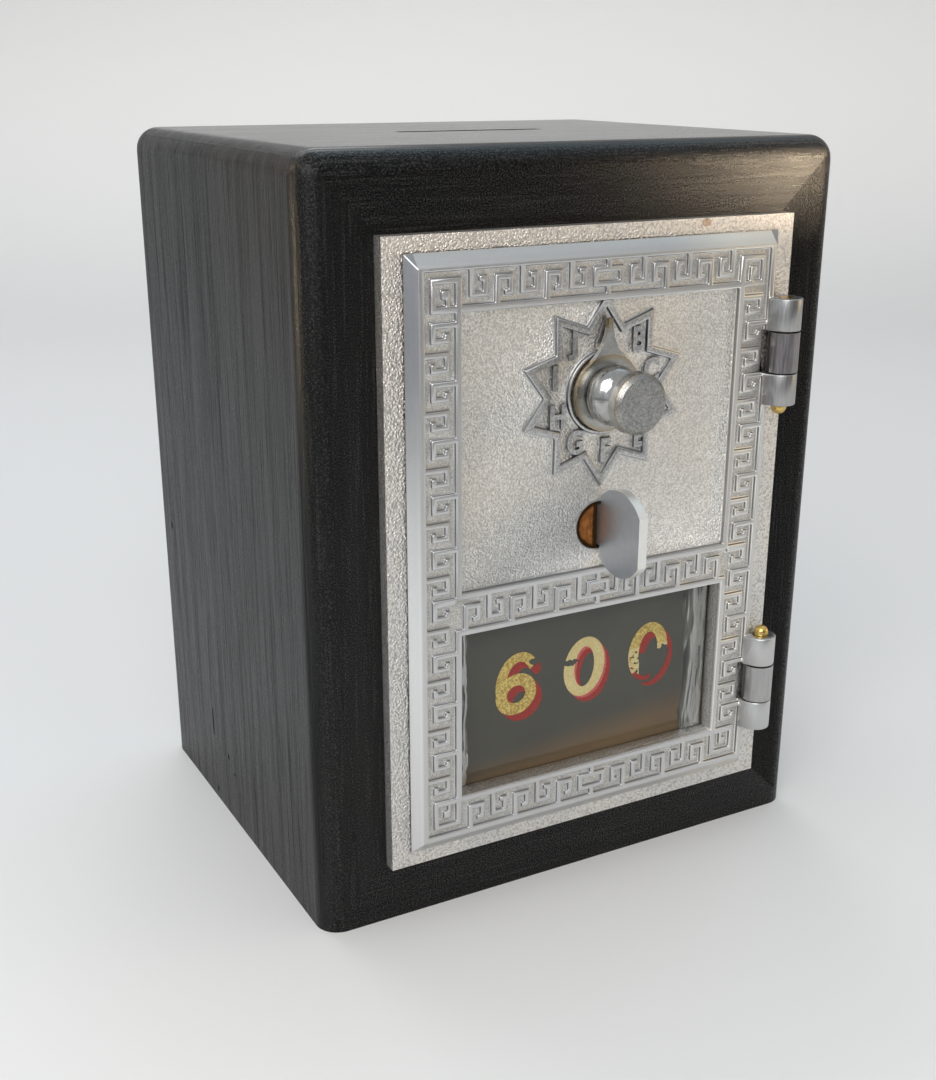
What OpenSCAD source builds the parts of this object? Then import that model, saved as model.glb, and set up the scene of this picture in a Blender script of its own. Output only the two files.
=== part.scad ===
// Coin bank made from a small post office box door in a mitred wooden case.
// The front faces -Y, the box stands on Z = 0, and X = 0, Y = 0 is the box centre.

/* [Wooden case] */
// Depth of the wooden case
box_d = 100; // [90:1:140]
// Thickness of the four mitred boards
wall_t = 19; // [17:0.5:21]
// Gap between the frame's sleeve and the wood at each side
gap_side = 1; // [0.5:0.1:1.5]
// Gap between the sleeve and the bottom board
gap_low = 0.7; // [0.2:0.1:2]
// Gap between the sleeve and the top board
gap_top = 2.3; // [0.2:0.1:3]
// Rounding of the outer vertical and top edges
edge_r = 5; // [3:0.5:7]
// Thickness of the back panel
back_t = 6; // [4:0.5:8]
// Width of the rabbet that holds the back panel
rabbet_w = 6; // [5:0.5:8]
// Length of the coin slot in the top board
slot_len = 35; // [30:1:45]
// Width of the coin slot
slot_w = 3.2; // [2.5:0.1:4]

/* [Door frame casting] */
// Width of the frame's front flange
flange_w = 93; // [88:1:100]
// Height of the frame's front flange
flange_h = 127; // [120:1:136]
// Thickness of the flange
flange_t = 2.9; // [2:0.1:4]
// Width of the flange left beside the door
land_w = 4; // [3:0.1:4.5]
// Height of the flange left above and below the door
land_h = 3; // [2:0.1:4]
// How much lower than the flange the sleeve is
sleeve_less = 13; // [12:0.5:14]
// Wall of the sleeve that reaches into the case
sleeve_t = 2.5; // [2:0.1:3]
// Depth of the sleeve behind the flange
sleeve_d = 13; // [12:0.5:16]
// How far the strike lug stands into the mouth
strike_w = 4; // [3.5:0.1:4.5]
// Height of the strike lug
strike_h = 10; // [8:0.5:11]
// Thickness of the strike lug
strike_t = 3; // [2.5:0.1:3.2]

/* [Door casting] */
// Thickness of the door's front plate, which is all bevel at its edge
plate_t = 2.4; // [2:0.1:3]
// Width of the bevel at the door's sides
bevel_side = 2; // [1.6:0.1:2.6]
// Height of the bevel at the door's upper and lower edge
bevel_end = 2.7; // [2.2:0.1:3]
// Running gap between door and flange
door_gap = 0.2; // [0.1:0.05:0.3]
// Thickness of the raised back that fits the frame's mouth
back_plate_t = 3; // [2.5:0.1:4]
// Clearance of that raised back in the frame's mouth
mouth_gap = 1; // [0.8:0.1:1.5]
// Depth of the pebbled field below the face
field_sink = 1.2; // [1:0.1:1.4]
// Width of the ribs beside the field and the window
rib_w = 1.3; // [1.2:0.1:1.5]

/* [Greek key] */
// Width of each band of Greek key
band_w = 6.3; // [6:0.1:6.6]
// Plain border beside the side bands
border_side = 1.2; // [0.8:0.1:1.6]
// Plain border above the top band
border_top = 0.6; // [0.4:0.1:1.2]
// Plain border below the lowest band
border_low = 1.2; // [0.8:0.1:1.8]
// Depth of the ground of the key
key_depth = 0.7; // [0.4:0.1:0.9]
// Width of the key's raised line
key_line = 1; // [0.8:0.05:1.1]
// Length and height of one hook of the key
key_hook = 3.8; // [3.6:0.1:3.9]
// How far each hook's end curls in, as a share of the hook's length
key_curl = 0.46; // [0.4:0.02:0.5]
// Half width of the slotted block in the middle of the top and bottom bands
middle_w = 3.4; // [3:0.1:3.6]
// Half width of the slotted block in the middle of the band above the window
inner_middle_w = 2.8; // [2.4:0.1:3]
// Half width between the two hooks that flank that block
inner_hooks_w = 5.1; // [4.8:0.1:5.4]
// Hooks in one half of a level band
key_count = 5; // [4:1:6]
// Hooks in one upright band
key_side_count = 18; // [14:1:20]
// Side of the square in the middle of each corner
key_core = 1.6; // [1.2:0.1:2]

/* [Dial] */
// Radius of the star's points
star_r = 19.1; // [18:0.1:19.4]
// Radius of the star's inner corners
star_inner_r = 13.7; // [13:0.1:14.5]
// Width of the star's rib
star_rib_w = 1.4; // [1:0.1:1.6]
// Points of the star, one for each dial letter
star_points = 10; // [10:1:12]
// How far the star's top point runs into the rib above it
star_bite = 1.1; // [0.8:0.1:1.2]
// Height of the star above the field
star_rise = 0.8; // [0.5:0.1:0.9]
// Radius of the ring round the pointer
ring_r = 8.4; // [8.2:0.1:9]
// Width of that ring
ring_w = 0.8; // [0.5:0.1:1]
// Radius of the dial spindle
spindle_r = 2.5; // [2:0.1:2.8]
// Radius of the round part of the pointer
pointer_r = 7.5; // [6.8:0.1:7.8]
// Length of the pointer from the dial centre to its tip
pointer_len = 14.6; // [13.5:0.1:15.6]
// Half width of the pointer's blunt tip
pointer_tip = 0.5; // [0.3:0.05:0.7]
// Thickness of the pointer
pointer_t = 1.2; // [0.8:0.1:1.4]
// Gap between the star and the pointer
pointer_gap = 0.3; // [0.2:0.05:0.5]
// Largest radius of the knob's head
knob_r = 6.1; // [5.6:0.05:6.6]
// Height of the knob in front of the pointer
knob_h = 11.4; // [10.6:0.1:12.4]
// Thickness of the knob's rim
knob_rim = 3; // [2.6:0.1:3.4]
// Largest radius of the bulb between knob and pointer
knob_bulb_r = 5.9; // [5.6:0.1:6.2]
// Radius of the knob's neck
neck_r = 3.6; // [3.3:0.1:3.8]

/* [Latch turn] */
// Height of the latch turn above the foot of the field
latch_up = 8.8; // [8:0.1:10]
// Radius of the brass latch spindle
latch_r = 4.9; // [4.5:0.1:5]
// Thickness of the flat thumb tab
tab_t = 2; // [1.6:0.1:2.4]
// Radius of the tab's round outline
tab_r = 8.9; // [8:0.1:9.2]
// How far the middle of that outline stands in front of the door's face
tab_mid = 5.8; // [5.5:0.1:6.5]
// How far the tab's flat front edge stands in front of the door's face
tab_out = 13.1; // [12:0.1:14]
// Width of the tang that sits on the spindle's flat
tang_w = 8.2; // [7:0.1:8.4]

/* [Hinges] */
// Radius of the hinge barrels
barrel_r = 3.3; // [3:0.1:3.5]
// Length of each hinge barrel
barrel_len = 22.2; // [20:0.2:24]
// Length of the frame's knuckle in the middle of a barrel
knuckle_len = 8.8; // [8:0.1:10]
// Gap between knuckles along the pin
knuckle_gap = 0.25; // [0.2:0.05:0.4]
// Radius of the hinge pins
pin_r = 1.6; // [1.4:0.1:1.8]
// Drop of the upper hinge below the door's upper edge
hinge_drop = 24.5; // [22:0.5:26]
// Height of the lower hinge above the door's lower edge
hinge_rise = 21.9; // [20:0.1:24]

/* [Window] */
// Thickness of the window glass
glass_t = 2.2; // [2:0.1:2.6]
// Lap of the glass behind the window's edge
glass_lap = 1.8; // [1.5:0.1:2]
// Depth of the glass rebate in the door's back
rebate_d = 1.2; // [1:0.1:1.4]

/* [Lock] */
// Space between the lock case and the side of the frame's mouth
case_inset = 10; // [9:0.5:11]
// Width of the lock case right of the dial
case_right = 16; // [15.5:0.5:19]
// Depth of the lock case behind the door
case_d = 14.1; // [14:0.1:16]
// Wall of the lock case
case_t = 1.5; // [1.2:0.1:1.6]
// Thickness of the case's cover
cover_t = 1.2; // [1:0.1:2]
// Radius of the tumbler wheels
wheel_r = 11; // [10:0.1:11.2]
// Thickness of the tumbler wheels
wheel_t = 2; // [1.6:0.1:2.1]
// Gap between one wheel and the next
wheel_gap = 2; // [1.8:0.1:2.1]
// Radius of the fixed arbor that the tumblers turn on
arbor_r = 4; // [3.8:0.1:4.4]
// Depth of the gates in the wheels
gate_d = 3.2; // [3:0.1:3.6]
// Width of the gates in the wheels
gate_w = 4.2; // [4:0.1:4.6]
// Distance of the pick-up pins from the wheels' rims
pickup_inset = 3; // [2.6:0.1:3.2]
// Radius of the pick-up pins
pickup_pin_r = 0.8; // [0.6:0.05:0.9]
// Free space between the fence and the wheels' rims
fence_gap = 1.4; // [1.3:0.1:2]
// Height of the fence on its lever
fence_h = 3.3; // [2.5:0.1:5]
// Throw of the latch bolt
bolt_throw = 5.5; // [5:0.1:5.6]
// Thickness of the latch bolt
bolt_t = 2.8; // [2.4:0.1:3]
// Height of the latch bolt
bolt_h = 9; // [8.6:0.1:9.2]
// Radius of the crank pin that moves the bolt
crank_pin_r = 1.5; // [1.2:0.1:1.6]

/* [Fits] */
// Radial clearance of a shaft that turns in a hole
run_fit = 0.06; // [0.02:0.01:0.1]
// Radial clearance of a pin or screw that is held fast
tight_fit = 0.02; // [0.01:0.01:0.05]
// Clearance between flat faces that slide past each other
slide_fit = 0.2; // [0.15:0.05:0.3]

/* [Hidden] */
$fn = 64;
eps = 0.01;
through = 400;

wood = "#26282b";
cast = "#b9bab8";
steel = "#8f949a";
brass = "#b08a3c";
glass_tint = [0.35, 0.36, 0.33, 0.5];

// Depth planes, from the wood's front backwards through the lock
front_y = -box_d / 2;
flange_y = front_y - flange_t;
plate_y = flange_y - door_gap;
face_y = plate_y - plate_t;
field_y = face_y + field_sink;
star_y = field_y - star_rise;
pointer_y = star_y - pointer_gap - pointer_t;
door_back_y = plate_y + back_plate_t;
case_y = door_back_y + case_t;
case_end_y = door_back_y + case_d;
rear_y = box_d / 2;

// The door's face, field and window, worked out inwards from the flange
door_w = flange_w - 2 * land_w;
door_h = flange_h - 2 * land_h;
face_w = door_w - 2 * bevel_side;
face_h = door_h - 2 * bevel_end;
field_w = face_w - 2 * (border_side + band_w + rib_w);
band_x = field_w / 2 + rib_w;
key_edge = (band_w - key_hook) / 2;

// Distances from the latch spindle upwards through the lock to the dial
bolt_drop = 1;
lever_up = 4.8;
lever_low = 1;
latch_drop = bolt_h - bolt_drop + lever_up - lever_low + fence_h + fence_gap + wheel_r;
field_h = star_r - star_bite + latch_drop + latch_up;
window_h = face_h - border_top - border_low - 3 * band_w - 4 * rib_w - field_h;

// Heights on the door's face from the door's centre
top_band = face_h / 2 - border_top - band_w;
field_top = top_band - rib_w;
field_low = field_top - field_h;
mid_band = field_low - rib_w - band_w;
window_top = mid_band - rib_w;
window_low = window_top - window_h;
low_band = window_low - rib_w - band_w;
window_mid = (window_top + window_low) / 2;
side_run = field_top - window_low;

// Window glass and the frame that holds it
glass_gap = 0.2;
glass_x = field_w / 2 + glass_lap + glass_gap;
retainer_side = 2.8;
retainer_end = 1.8;
retainer_x = glass_x + retainer_side;
retainer_z = window_h / 2 + glass_lap + retainer_end;
retainer_t = 1;
retainer_lip = 2;
retainer_screw_r = 1;
retainer_screw_len = 1.9;
retainer_screw_in = 1.6;
retainer_screw_up = window_h / 3;

// The door's back, the frame's mouth and the wood round it
back_margin = 0.5;
back_x = retainer_x + back_margin;
mouth_x = back_x + mouth_gap;
sleeve_x = mouth_x + sleeve_t;
sleeve_h = flange_h - sleeve_less;
mouth_z = sleeve_h / 2 - sleeve_t;
strike_y = door_back_y + 0.8;
box_w = 2 * (sleeve_x + gap_side + wall_t);
box_h = 2 * wall_t + sleeve_h + gap_low + gap_top;
door_z = wall_t + gap_low + sleeve_h / 2;

// Wood screws
back_screw_r = 1.2;
back_screw_head_r = 2.2;
back_screw_bite = 9;
back_screw_len = back_t + back_screw_bite;
back_screw_place = 0.8;
frame_screw_r = 1.6;
frame_screw_head_r = 3;
frame_screw_len = 11;
frame_screw_up = 0.35 * sleeve_h;
frame_screw_inset = 4.5;
screw_spare = 0.5;
slot_reach = 4;
panel_gap = 0.2;

// Hinge axis
barrel_gap = 0.25;
pin_out = 0.6;
hinge_x = flange_w / 2 - barrel_r;
hinge_y = flange_y - barrel_gap - barrel_r;
end_len = (barrel_len - knuckle_len) / 2;
hinge_up = door_h / 2 - hinge_drop;
hinge_down = door_h / 2 - hinge_rise;
hinge_heights = [hinge_up, -hinge_down];

// Turned profile of the knob, as heights in front of the pointer
bulb_round = 3.15;
bulb_h = 2;
neck_h = 6.6;
head_bevel = 0.8;
head_taper = 0.25;
head_back = 0.5;

// Lock layout, with the distances of the bolt's parts from the case's left side first
lever_in = 8;
guide_in = 14;
foot_in = 15;
ramp_in = 22;
latch_z = door_z + field_low + latch_up;
dial_z = latch_z + latch_drop;
case_left = mouth_x - case_inset;
case_low_margin = 3.5;
case_top_margin = 3.8;
case_low = latch_z - latch_r - case_low_margin;
case_top = dial_z + wheel_r + case_top_margin;
post_r = 2.5;
post_inset = 3.5;
ear_r = 3;
ear_t = 2;
ear_out = 3.5;
ear_screw_r = 1.25;
ear_screw_len = 2.6;
cover_screw_r = 1;
cover_screw_len = 4.5;
front_wheel_y = case_y + slide_fit + 0.1;
rear_wheel_y = front_wheel_y + wheel_t + wheel_gap;
arbor_end_y = rear_wheel_y + wheel_t + 1;
drive_y = rear_wheel_y + wheel_t + wheel_gap - 0.1;
drive_end_y = drive_y + wheel_t;
pickup_len = wheel_gap - slide_fit - 0.1;
pickup_r = wheel_r - pickup_inset;
pickup_step = 2 * asin((pickup_pin_r + 0.03) / pickup_r);
crank_r = bolt_throw / sqrt(2);
crank_x = crank_r / sqrt(2);
spindle_face_y = field_y + 0.3;
tang_y = field_y + 2.6;
square_r = 2.5;
cam_r = crank_r + crank_pin_r + 0.2;
cam_y = case_y + slide_fit;
cam_t = 2.3;
cam_end_y = cam_y + cam_t;
bolt_y = cam_end_y + slide_fit;
bolt_end_y = bolt_y + bolt_t;
bolt_tip_x = strike_w - mouth_x + 2;
bolt_low = latch_z - bolt_drop;
bolt_high = bolt_low + bolt_h;
bolt_mid = bolt_low + bolt_h / 2;
ramp_x = ramp_in - case_left;
ramp_len = 8;
ramp_up = 1.2;
yoke_gap = 0.25;
guide_x = guide_in - case_left;
guide_r = 1.6;
lever_x = lever_in - case_left;
lever_z = bolt_high + lever_up;
lever_top = 0.4;
lever_y = bolt_y + 0.1;
lever_t = 2.6;
lever_post_r = 1.5;
lever_hub_r = 3;
foot_x = foot_in - case_left;
foot_drop = 3.1;
fence_w = 2.2;
spring_x = lever_x + 4.5;
spring_r = 1.6;
wire_r = 0.3;
spring_turns = 6;
spring_top = lever_z + 9;

// A sheet of the given thickness, drawn as seen from the front, with its back face at y
module sheet(y, t) {
    translate([0, y, 0]) rotate([90, 0, 0]) linear_extrude(t) children();
}

// A round bar along Y from one depth to another
module bar_y(x, z, y1, y2, r) {
    translate([x, y2, z]) rotate([90, 0, 0]) cylinder(r = r, h = y2 - y1);
}

// A block between two corners
module block(low, high) {
    translate(low) cube(high - low);
}

// A rectangle from one corner to another
module area(x1, z1, x2, z2) {
    translate([min(x1, x2), min(z1, z2)]) square([abs(x2 - x1), abs(z2 - z1)]);
}

// The wooden case

// What is planed off to round an edge that runs along Z through the origin
module edge_waste(length) {
    difference() {
        translate([0, 0, -length / 2]) cube([2 * edge_r, 2 * edge_r, length]);
        cylinder(r = edge_r, h = length + 2, center = true);
    }
}

module case_block() {
    long = 3 * box_h;
    x_edge = box_w / 2 - edge_r;
    y_edge = box_d / 2 - edge_r;
    difference() {
        block([-box_w / 2, -box_d / 2, 0], [box_w / 2, box_d / 2, box_h]);
        for (a = [0, 1], b = [0, 1])
            mirror([a, 0, 0]) mirror([0, b, 0]) translate([x_edge, y_edge, 0]) edge_waste(long);
        for (b = [0, 1])
            mirror([0, b, 0]) translate([0, y_edge, box_h - edge_r]) rotate([0, -90, 0]) edge_waste(long);
        for (a = [0, 1])
            mirror([a, 0, 0]) translate([x_edge, 0, box_h - edge_r]) rotate([90, 0, 0]) edge_waste(long);
    }
}

module case_cavity() {
    block([wall_t - box_w / 2, -box_d, wall_t], [box_w / 2 - wall_t, box_d, box_h - wall_t]);
    block([wall_t - rabbet_w - box_w / 2, rear_y - back_t, wall_t - rabbet_w],
        [box_w / 2 - wall_t + rabbet_w, box_d, box_h - wall_t + rabbet_w]);
}

// The wedge that one board fills, up to the mitres at 45 degrees
module board_wedge(side) {
    deep = wall_t + 1;
    out = 5;
    if (side == "left" || side == "right")
        mirror([side == "right" ? 1 : 0, 0, 0]) sheet(box_d, 2 * box_d)
            polygon([[-box_w / 2 - out, -out], [deep - box_w / 2, deep],
                [deep - box_w / 2, box_h - deep], [-box_w / 2 - out, box_h + out]]);
    if (side == "top" || side == "bottom")
        translate([0, 0, side == "top" ? box_h : 0]) mirror([0, 0, side == "top" ? 1 : 0])
            sheet(box_d, 2 * box_d)
            polygon([[-box_w / 2 - out, -out], [deep - box_w / 2, deep],
                [box_w / 2 - deep, deep], [box_w / 2 + out, -out]]);
}

module board(side) {
    color(wood) difference() {
        intersection() {
            case_block();
            board_wedge(side);
        }
        case_cavity();
        screw_places("back") cylinder(r = back_screw_r + tight_fit, h = back_screw_len + screw_spare);
        screw_places("frame") cylinder(r = frame_screw_r + tight_fit, h = frame_screw_len + screw_spare);
        if (side == "top")
            translate([-slot_len / 2, -slot_w / 2, box_h - 2 * wall_t]) cube([slot_len, slot_w, 3 * wall_t]);
    }
}

// A screwdriver slot of this width across a head, from one height to another
module driver_slot(w, z1, z2) {
    block([-slot_reach, -w / 2, z1], [slot_reach, w / 2, z2]);
}

// Places of the screws, each with its point along +Z
module screw_places(kind) {
    land_x = box_w / 2 - wall_t + rabbet_w / 2;
    land_z = box_h / 2 - wall_t + rabbet_w / 2;
    if (kind == "back")
        for (x = [-1, 1], z = [-1, 1])
            translate([x * land_x, rear_y, box_h / 2 + z * back_screw_place * land_z]) rotate([90, 0, 0])
                children();
    if (kind == "frame")
        for (x = [-1, 1], z = [-1, 1])
            translate([x * mouth_x, front_y + sleeve_d - frame_screw_inset, door_z + z * frame_screw_up])
                rotate([0, x * 90, 0]) children();
}

module left_board() { board("left"); }
module right_board() { board("right"); }
module top_board() { board("top"); }
module bottom_board() { board("bottom"); }

module back_panel() {
    x = box_w / 2 - wall_t + rabbet_w - panel_gap;
    color(wood) difference() {
        block([-x, rear_y - back_t, wall_t - rabbet_w + panel_gap],
            [x, rear_y, box_h - wall_t + rabbet_w - panel_gap]);
        screw_places("back") back_screw(tight_fit);
    }
}

// A countersunk wood screw with its head flush at Z = 0 and its point along +Z
module back_screw(grow) {
    cylinder(r = back_screw_r + grow, h = back_screw_len);
    cylinder(r1 = back_screw_head_r + grow, r2 = back_screw_r + grow, h = back_screw_head_r - back_screw_r);
}

module back_screws() {
    color(brass) screw_places("back") difference() {
        back_screw(0);
        driver_slot(0.5, -1, 0.5);
    }
}

// The frame casting

// The frame's knuckle with the web that joins it to the flange
module frame_knuckle(up) {
    low = door_z + up - knuckle_len / 2 + knuckle_gap;
    h = knuckle_len - 2 * knuckle_gap;
    difference() {
        union() {
            translate([hinge_x, hinge_y, low]) cylinder(r = barrel_r, h = h);
            block([hinge_x - 1.2, hinge_y, low], [hinge_x + barrel_r, flange_y + eps, low + h]);
        }
        translate([hinge_x, hinge_y, low - 1]) cylinder(r = pin_r + run_fit, h = h + 2);
    }
}

module frame_screw(grow) {
    cylinder(r = frame_screw_r + grow, h = frame_screw_len);
    cylinder(r1 = frame_screw_head_r + grow, r2 = frame_screw_r + grow,
        h = frame_screw_head_r - frame_screw_r);
}

module door_frame() {
    color(cast) {
        difference() {
            union() {
                block([-flange_w / 2, flange_y, door_z - flange_h / 2],
                    [flange_w / 2, front_y, door_z + flange_h / 2]);
                block([-sleeve_x, front_y - eps, door_z - sleeve_h / 2],
                    [sleeve_x, front_y + sleeve_d, door_z + sleeve_h / 2]);
            }
            block([-mouth_x, -through, door_z - mouth_z], [mouth_x, through, door_z + mouth_z]);
            screw_places("frame") frame_screw(tight_fit);
        }
        for (up = hinge_heights)
            frame_knuckle(up);
        block([-mouth_x - eps, strike_y, bolt_mid - strike_h / 2],
            [strike_w - mouth_x, strike_y + strike_t, bolt_mid + strike_h / 2]);
    }
}

module frame_screws() {
    color(steel) screw_places("frame") difference() {
        frame_screw(0);
        driver_slot(0.8, -1, 0.7);
    }
}

// The Greek key, drawn as seen from the front

// One hook: its stem leaves the rail at v = 0 and lies on the side away from u = 0
module key_hook_shape() {
    top = key_edge + key_hook;
    area(key_hook - key_line, -eps, key_hook, top);
    area(0, top - key_line, key_hook, top);
    area(0, key_edge, key_line, top);
    area(0, key_edge, key_hook * key_curl, key_edge + key_line);
}

// Hooks one after another from u1 to u2, by turns from the lower and the upper rail
module key_run(u1, u2, count, first_up) {
    gap = (u2 - u1 - count * key_hook) / (count + 1);
    for (i = [0:count - 1])
        translate([u1 + gap + i * (key_hook + gap), 0])
            if ((i + first_up) % 2 == 0)
                key_hook_shape();
            else
                translate([0, band_w]) mirror([0, 1]) key_hook_shape();
}

// The slotted block at the middle of a level band
module key_middle(half) {
    slot = half - key_line;
    difference() {
        area(-half, key_edge, half, band_w - key_edge);
        area(-slot, key_edge + key_line, slot, band_w - key_edge - key_line);
    }
    area(-key_line / 2, -eps, key_line / 2, key_edge + eps);
    area(-key_line / 2, band_w - key_edge - eps, key_line / 2, band_w + eps);
}

// A level band: two mirrored runs of hooks and the slotted block between them
module level_band(first_up) {
    key_middle(middle_w);
    for (side = [0, 1])
        mirror([side, 0]) key_run(middle_w, field_w / 2, key_count, first_up);
}

// The band under the field, whose innermost hooks reach the slotted block
module middle_band() {
    half = inner_hooks_w;
    key_middle(inner_middle_w);
    area(-half, key_edge, half, key_edge + key_line);
    for (side = [0, 1])
        mirror([side, 0]) {
            area(half - key_line, key_edge, half, band_w + eps);
            key_run(half, field_w / 2 + key_line, key_count, 0);
        }
}

// One corner: a square ring with a square core
module key_corner() {
    outer = band_w - key_edge;
    mid = (outer - key_line) / 2;
    difference() {
        area(-rib_w, -rib_w, outer, outer);
        area(0, 0, outer - key_line, outer - key_line);
    }
    translate([mid, mid]) square(key_core, center = true);
    area(mid - key_core / 2, mid, mid - key_core / 2 + key_line * 0.7, -eps);
}

// All raised lines of the key
module key_lines() {
    translate([0, top_band]) level_band(1);
    translate([0, mid_band]) middle_band();
    translate([0, low_band]) level_band(0);
    for (side = [0, 1])
        mirror([side, 0]) {
            translate([band_x, window_low]) rotate(90) mirror([0, 1]) key_run(0, side_run, key_side_count, 1);
            translate([band_x, top_band]) key_corner();
            translate([band_x, low_band + band_w]) mirror([0, 1]) key_corner();
        }
}

// The sunk ground that the key stands in
module key_ground() {
    difference() {
        area(-band_x - band_w, low_band, band_x + band_w, top_band + band_w);
        area(-band_x, field_low - rib_w, band_x, field_top + rib_w);
        area(-band_x, window_low - rib_w, band_x, window_top + rib_w);
        key_lines();
    }
}

// The star and the ring of the dial

// Scale that draws a star's edge inwards by the rib's width
star_edge = sqrt(pow(star_r, 2) + pow(star_inner_r, 2) - 2 * star_r * star_inner_r * cos(180 / star_points));
star_shrink = 1 - star_rib_w * star_edge / (star_r * star_inner_r * sin(180 / star_points));

module star(k) {
    polygon([for (i = [0:2 * star_points - 1])
        let (r = k * (i % 2 == 0 ? star_r : star_inner_r), a = 90 + i * 180 / star_points)
        [r * cos(a), r * sin(a)]]);
}

module star_rib() {
    difference() {
        star(1);
        star(star_shrink);
    }
    difference() {
        circle(ring_r);
        circle(ring_r - ring_w);
    }
}

// The door casting

// The front plate, all of whose edge is a bevel
module bevel_plate() {
    intersection() {
        translate([0, 0, door_z - door_h / 2]) linear_extrude(door_h)
            polygon([[-door_w / 2, plate_y], [-face_w / 2, face_y], [face_w / 2, face_y],
                [door_w / 2, plate_y]]);
        translate([-door_w / 2, 0, door_z]) rotate([90, 0, 90]) linear_extrude(door_w)
            polygon([[plate_y, -door_h / 2], [face_y, -face_h / 2], [face_y, face_h / 2],
                [plate_y, door_h / 2]]);
    }
}

// A door knuckle, faired into the edge of the door's face by a tangent flank
module door_knuckle(low, h) {
    root = [face_w / 2 - 1.6, face_y];
    to_pin = [hinge_x, hinge_y] - root;
    reach = norm(to_pin);
    turn = atan2(to_pin[1], to_pin[0]) - asin(barrel_r / reach);
    run = sqrt(reach * reach - barrel_r * barrel_r);
    touch = root + run * [cos(turn), sin(turn)];
    translate([0, 0, low]) linear_extrude(h) {
        translate([hinge_x, hinge_y]) circle(barrel_r);
        polygon([root, touch, [hinge_x, hinge_y], [hinge_x, plate_y], [root[0], plate_y]]);
    }
}

module door() {
    back_z = mouth_z - mouth_gap;
    color(cast) difference() {
        union() {
            bevel_plate();
            block([-back_x, plate_y - eps, door_z - back_z], [back_x, door_back_y, door_z + back_z]);
            for (up = hinge_heights, end = [-1, 1])
                door_knuckle(door_z + up + (end < 0 ? -barrel_len / 2 : knuckle_len / 2), end_len);
        }
        // Sunk field with the star left standing, ground of the key, window and glass rebate
        translate([0, 0, door_z]) {
            sheet(field_y, field_sink + 1) area(-field_w / 2, field_low, field_w / 2, field_top);
            sheet(face_y + key_depth, key_depth + 1) key_ground();
            sheet(through, 2 * through) area(-field_w / 2, window_low, field_w / 2, window_top);
            sheet(door_back_y + 1, rebate_d + 1)
                area(-glass_x, window_low - glass_lap - glass_gap, glass_x,
                    window_top + glass_lap + glass_gap);
        }
        // Notches that clear the frame's knuckles
        for (up = hinge_heights)
            block([hinge_x - barrel_r - 0.9, -through, door_z + up - knuckle_len / 2],
                [hinge_x + 2 * barrel_r, plate_y + eps, door_z + up + knuckle_len / 2]);
        translate([hinge_x, hinge_y, 0]) cylinder(r = pin_r + tight_fit, h = through);
        bar_y(0, dial_z, -through, through, spindle_r + run_fit);
        bar_y(0, latch_z, -through, through, latch_r + run_fit);
        retainer_places()
            translate([0, 0, -retainer_screw_len])
                cylinder(r = retainer_screw_r + tight_fit, h = retainer_screw_len + 1);
        ear_places()
            translate([0, 0, -ear_screw_len]) cylinder(r = ear_screw_r + tight_fit, h = ear_screw_len + 1);
    }
    color(cast) difference() {
        translate([0, 0, dial_z]) sheet(field_y + eps, star_rise + eps) star_rib();
        bar_y(0, dial_z, -through, through, spindle_r + run_fit);
    }
}

module upper_hinge_pin() {
    low = door_z + hinge_up - barrel_len / 2;
    color(brass) translate([hinge_x, hinge_y, 0]) {
        translate([0, 0, low - pin_out]) cylinder(r = pin_r, h = barrel_len + pin_out);
        translate([0, 0, low - pin_out]) difference() {
            sphere(pin_r);
            cylinder(r = 2 * pin_r, h = 2 * pin_r);
        }
    }
}

module lower_hinge_pin() {
    low = door_z - hinge_down - barrel_len / 2;
    color(brass) translate([hinge_x, hinge_y, low]) {
        cylinder(r = pin_r, h = barrel_len + pin_out);
        translate([0, 0, barrel_len + pin_out]) difference() {
            sphere(pin_r);
            translate([0, 0, -2 * pin_r]) cylinder(r = 2 * pin_r, h = 2 * pin_r);
        }
    }
}

// The window

module window_glass() {
    color(glass_tint) translate([0, 0, door_z])
        sheet(door_back_y - rebate_d + glass_t, glass_t)
            area(-glass_x + glass_gap, window_low - glass_lap, glass_x - glass_gap, window_top + glass_lap);
}

// Places of the retainer's screws on its back face, points along -Z
module retainer_places() {
    for (x = [-1, 1], z = [-1, 1])
        translate([x * (retainer_x - retainer_screw_in), door_back_y,
            door_z + window_mid + z * retainer_screw_up]) rotate([-90, 0, 0]) children();
}

module glass_retainer() {
    stand = glass_t - rebate_d;
    color(steel) difference() {
        translate([0, 0, door_z + window_mid]) {
            difference() {
                sheet(door_back_y + stand + retainer_t, stand + retainer_t)
                    area(-retainer_x, -retainer_z, retainer_x, retainer_z);
                sheet(door_back_y + stand, stand + 1)
                    area(-glass_x, -window_h / 2 - glass_lap - glass_gap, glass_x,
                        window_h / 2 + glass_lap + glass_gap);
                sheet(through, 2 * through)
                    area(retainer_lip - field_w / 2, retainer_lip - window_h / 2,
                        field_w / 2 - retainer_lip, window_h / 2 - retainer_lip);
            }
        }
        retainer_places() cylinder(r = retainer_screw_r + tight_fit, h = through, center = true);
    }
}

module retainer_screws() {
    head_z = glass_t - rebate_d + retainer_t;
    color(brass) retainer_places() {
        translate([0, 0, 0.2 - retainer_screw_len])
            cylinder(r = retainer_screw_r, h = head_z + retainer_screw_len);
        difference() {
            translate([0, 0, head_z]) cylinder(r = 1.5, h = 0.8);
            driver_slot(0.4, head_z + 0.4, head_z + 1);
        }
    }
}

// The lock

// Places of the screws that hold the case to the door, points along -Z
module ear_places() {
    for (x = [-case_left - ear_out, case_right + ear_out], z = [case_low + ear_r, case_top - ear_r])
        translate([x, door_back_y, z]) rotate([-90, 0, 0]) children();
}

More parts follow.
